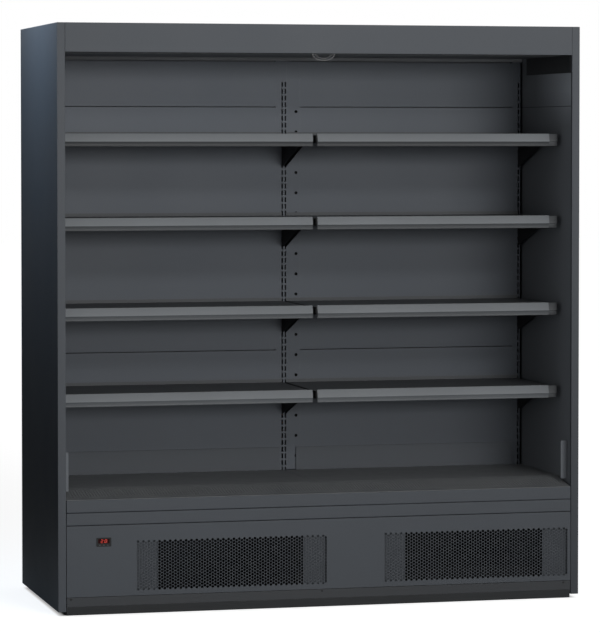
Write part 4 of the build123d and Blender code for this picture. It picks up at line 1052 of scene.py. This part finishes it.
feet_low, feet_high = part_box("levelling_feet")
INSET_X, INSET_Y, THREAD_PITCH, THREAD_LOW = 0.026, 0.0225, 0.00075, 0.008
bm = bmesh.new()
for x in (feet_low.x + INSET_X, feet_high.x - INSET_X):
    for y in (feet_low.y + INSET_Y, feet_high.y - INSET_Y):
        turned(bm, [(0.002, 0.0), (0.0205, 0.0), (0.0222, 0.0015), (0.0222, 0.0055), (0.0190, 0.0078),
                    (0.0080, 0.0090), (0.002, 0.0090)], (x, y, 0), (0, 0, 1), 32)
        thread = [(0.0012, THREAD_LOW)]
        thread += [(0.0056 if k % 2 else 0.0050, THREAD_LOW + THREAD_PITCH * k) for k in range(86)]
        turned(bm, [*thread, (0.0012, thread[-1][1])], (x, y, 0), (0, 0, 1), 12)
        prism(bm, ring_of((x, y), 0.0110, 6), 0.0298, 0.0396, "z")
keep_piece("turned_levelling_feet", bm, "zinc_screw", ["levelling_feet"], smooth=40)
print("two copper lines, four feet")

# %% [markdown]
# ## Riser beads
# The risers above the deck end in a rolled bead. It wears the rails' paler finish, a painted highlight
# that shows as a thin bright line along their top. It is a small closed section pushed along X, with
# the same ends as the risers.

# %% Riser beads
low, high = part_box("back_risers")
BEAD = 1.2 * MM
RISER_ENDS = (-0.016, 0.045)         # the middle upright and the cable strip stand between these
bead = [(low.y + BEAD + BEAD * math.cos(math.pi * i / 5), high.z - BEAD + BEAD * math.sin(math.pi * i / 5))
        for i in range(10)]
bm = bmesh.new()
for span in ((low.x, RISER_ENDS[0]), (RISER_ENDS[1], high.x)):
    prism(bm, bead, *span, "x")
# The bead's paler finish is a painted highlight.
keep_piece("riser_beads_painted_highlight", bm, "anthracite_powder_coat", look="rail_profile", smooth=50)
print("two riser beads")

# %% [markdown]
# ## Rear sheets
# The back of the cabinet is closed by three sheets that lap over each other, screwed on along the
# laps and the edges. A row of pressed louvres lets the compressor's heat out near the floor. The
# frame's plain panel is replaced by these sheets, which stay within its thickness.

# %% Rear sheets, laps, louvres and screws
low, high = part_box("rear_panel")
REAR_SHEET, LAP_OUT = 0.6 * MM, 0.9 * MM       # the laps and the screws stand on the second plane
LAP_HALF, LOUVRE_HALF, LOUVRE_TALL, LOUVRE_PITCH = 11 * MM, 90 * MM, 6 * MM, 16 * MM
lap_xs = (low.x + (high.x - low.x) / 3, low.x + 2 * (high.x - low.x) / 3)
louvres = []
for i in range(3):
    for j in range(12):
        x, z = low.x + (high.x - low.x) * (i + 0.5) / 3, low.z + 0.06 + LOUVRE_PITCH * j
        louvres.append(rectangle((x - LOUVRE_HALF, x + LOUVRE_HALF), (z, z + LOUVRE_TALL)))
bm = bmesh.new()
punched(bm, rectangle((low.x, high.x), (low.z, high.z)), louvres, lambda x, z, deep: (x, low.y + deep, z),
        REAR_SHEET)
for lap_x in lap_xs:
    block(bm, (lap_x - LAP_HALF, lap_x + LAP_HALF), (low.y + REAR_SHEET, low.y + LAP_OUT), (low.z, high.z))
for (x0, z0), (x1, _), (_, z1), _ in louvres:
    hood = [(low.y + REAR_SHEET, z0 + 0.004), (low.y + 1.15 * MM, z0 + 0.004),
            (low.y + REAR_SHEET, z1 + 0.0015)]
    prism(bm, hood, x0, x1, "x")
keep_piece("rear_sheets", bm, "galvanised_sheet", ["rear_panel"], look="rear_sheet")
bm = bmesh.new()
profile = [(0.0, 0.0), (0.0042, 0.0), (0.0038, 0.00022), (0.0022, 0.00029), (0.0016, 0.00005), (0.0, 0.00005)]
for x in (low.x + 0.012, *lap_xs, high.x - 0.012):
    for j in range(9):
        z = low.z + 0.02 + (high.z - low.z - 0.04) * j / 8
        turned(bm, profile, (x, low.y + LAP_OUT, z), (0, 1, 0), 14)
keep_piece("rear_screws", bm, "zinc_screw", smooth=35, weld=True)
print("rear sheets with", len(louvres), "louvres")

# %% [markdown]
# ## Folded edges
# A fold in sheet steel is never sharp: its outside has a radius near the sheet's thickness, and that
# radius is what draws the thin bright lines along the fascia and the bumper bands. A bevel modifier
# rounds the frame's own sheets without touching their size.

# %% Rounded folds
ROUNDED = {"canopy_fascia": 0.9, "bumper_upper": 1.0, "bumper_lower": 1.0, "kick_plate": 0.8, "kick_skirt": 0.8,
           "end_panel_left": 1.0, "end_panel_right": 1.0, "back_risers": 0.6, "deck_pans": 0.8,
           "side_upstands": 0.5, "controller_housing": 0.4, "blind_bar": 0.5, "canopy_side_plates": 0.5}
for node_name, radius in ROUNDED.items():
    part = frame["nodes"][node_name]
    weld = part.modifiers.new("joined_corners", "WELD")
    weld.merge_threshold = 1e-5
    bevel = part.modifiers.new("rounded_folds", "BEVEL")
    bevel.width = radius * MM
    bevel.segments = 2
    bevel.limit_method = "ANGLE"
    bevel.angle_limit = math.radians(35)
    bevel.harden_normals = True
print("rounded folds on", len(ROUNDED), "nodes")

# %% [markdown]
# ## The studio
# The fridge stands on a pale floor. A broad soft lamp far in front lights the face and reaches under
# the shelves, a weaker one is higher, and a third comes from the left to show the inside of the right
# wall. A small bluish lamp catches the top of the left side. Two black flags, as photographers use
# them, keep the left side dark and let the light fall off towards the floor. The floor glows a little
# to the camera, except under the fridge. The backdrop is white to the camera and to reflections, and
# gives the fridge only the room's weak even light.

# %% Floor, backdrop and lamps
FLOOR_TONE = grey(0.8)
FLOOR_LIFT = 0.8            # how much the floor glows to the camera, so it stays pale beyond the lamps
FILL = 0.25                 # strength of the room's even light
UNDER_X, UNDER_Y = (0.92, 0.95), (0.350, 0.374)     # the glow begins between these, out from the middle

floor_mesh = bpy.data.meshes.new("floor")
floor_mesh.from_pydata([(-40, -40, 0), (40, -40, 0), (40, 40, 0), (-40, 40, 0)], [], [(0, 1, 2, 3)])
floor = shown("floor", floor_mesh)
floor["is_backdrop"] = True
tree, shader = new_material("floor_paint", FLOOR_TONE, 0.9, specular=0.0)
rays = place(tree, "LightPath").outputs
shader["Emission Color"].default_value = (1, 1, 1, 1)
spot = axes(tree, spot_on(tree))
beside = between(tree, maths(tree, "ABSOLUTE", spot["X"]), *UNDER_X)
before = between(tree, maths(tree, "ABSOLUTE", spot["Y"]), *UNDER_Y)
glow = maths(tree, "MULTIPLY", rays["Is Camera Ray"], FLOOR_LIFT)
wire(shader, Emission_Strength=maths(tree, "MULTIPLY", glow, maths(tree, "MAXIMUM", beside, before)))
floor_mesh.materials.append(finish["floor_paint"])

world = bpy.data.worlds.new("studio")
bpy.context.scene.world = world
world.use_nodes = True
tree = world.node_tree
rays = place(tree, "LightPath").outputs
seen = maths(tree, "MAXIMUM", rays["Is Camera Ray"], rays["Is Glossy Ray"])
seen = maths(tree, "MAXIMUM", seen, rays["Is Transmission Ray"])
backdrop = tree.nodes["Background"].inputs
backdrop["Color"].default_value = (1, 1, 1, 1)
wire(backdrop, Strength=maths(tree, "MULTIPLY_ADD", seen, 1.0 - FILL, FILL))


def softbox(name, place_at, aim, size, power, tint=(1, 1, 1), spread=180):
    """A rectangular area lamp that points at a place."""
    data = bpy.data.lights.new(name, "AREA")
    data.shape = "RECTANGLE"
    data.size, data.size_y = size
    data.energy = power
    data.color = tint
    data.spread = math.radians(spread)
    lamp = shown(name, data)
    lamp.location = place_at
    lamp.rotation_euler = (Vector(aim) - Vector(place_at)).to_track_quat("-Z", "Y").to_euler()


softbox("front_softbox", (7.8, -29.0, 3.5), (0, 0, 1.2), (16, 5.6), 4700)
softbox("high_softbox", (2.5, -11.0, 5.6), (0, 0, 1.0), (3.0, 1.0), 220)
softbox("side_softbox", (-9.2, -7.7, 1.8), (0.9, 0, 1.0), (5.0, 3.0), 150)
softbox("left_softbox", (-1.5, -0.05, 2.7), (-0.95, 0, 2.0), (0.4, 0.4), 6.0, (0.52, 0.75, 1.0), 100)


def black_flag(name, corners, in_gloss):
    """A black cloth that keeps light off a place, and that the camera doesn't see."""
    mesh = bpy.data.meshes.new(name)
    mesh.from_pydata(corners, [], [range(len(corners))])
    flag = shown(name, mesh)
    mesh.materials.append(finish["black_flag_cloth"])
    flag.visible_camera = False
    flag.visible_glossy = in_gloss
    flag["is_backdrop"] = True


new_material("black_flag_cloth", grey(0.0), 1.0, specular=0.0)
black_flag("side_flag", [(-1.6, -1.15, 0), (-1.6, 5, 0), (-1.6, 5, 2.2), (-1.6, -1.15, 2.2)], True)
black_flag("low_flag", [(-1.67, -14, 0), (14, -14, 0), (14, -14, 4.7)], False)

# %% Measure and finish
low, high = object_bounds()
print("visual box", [round(v, 4) for v in (*low, *high)])
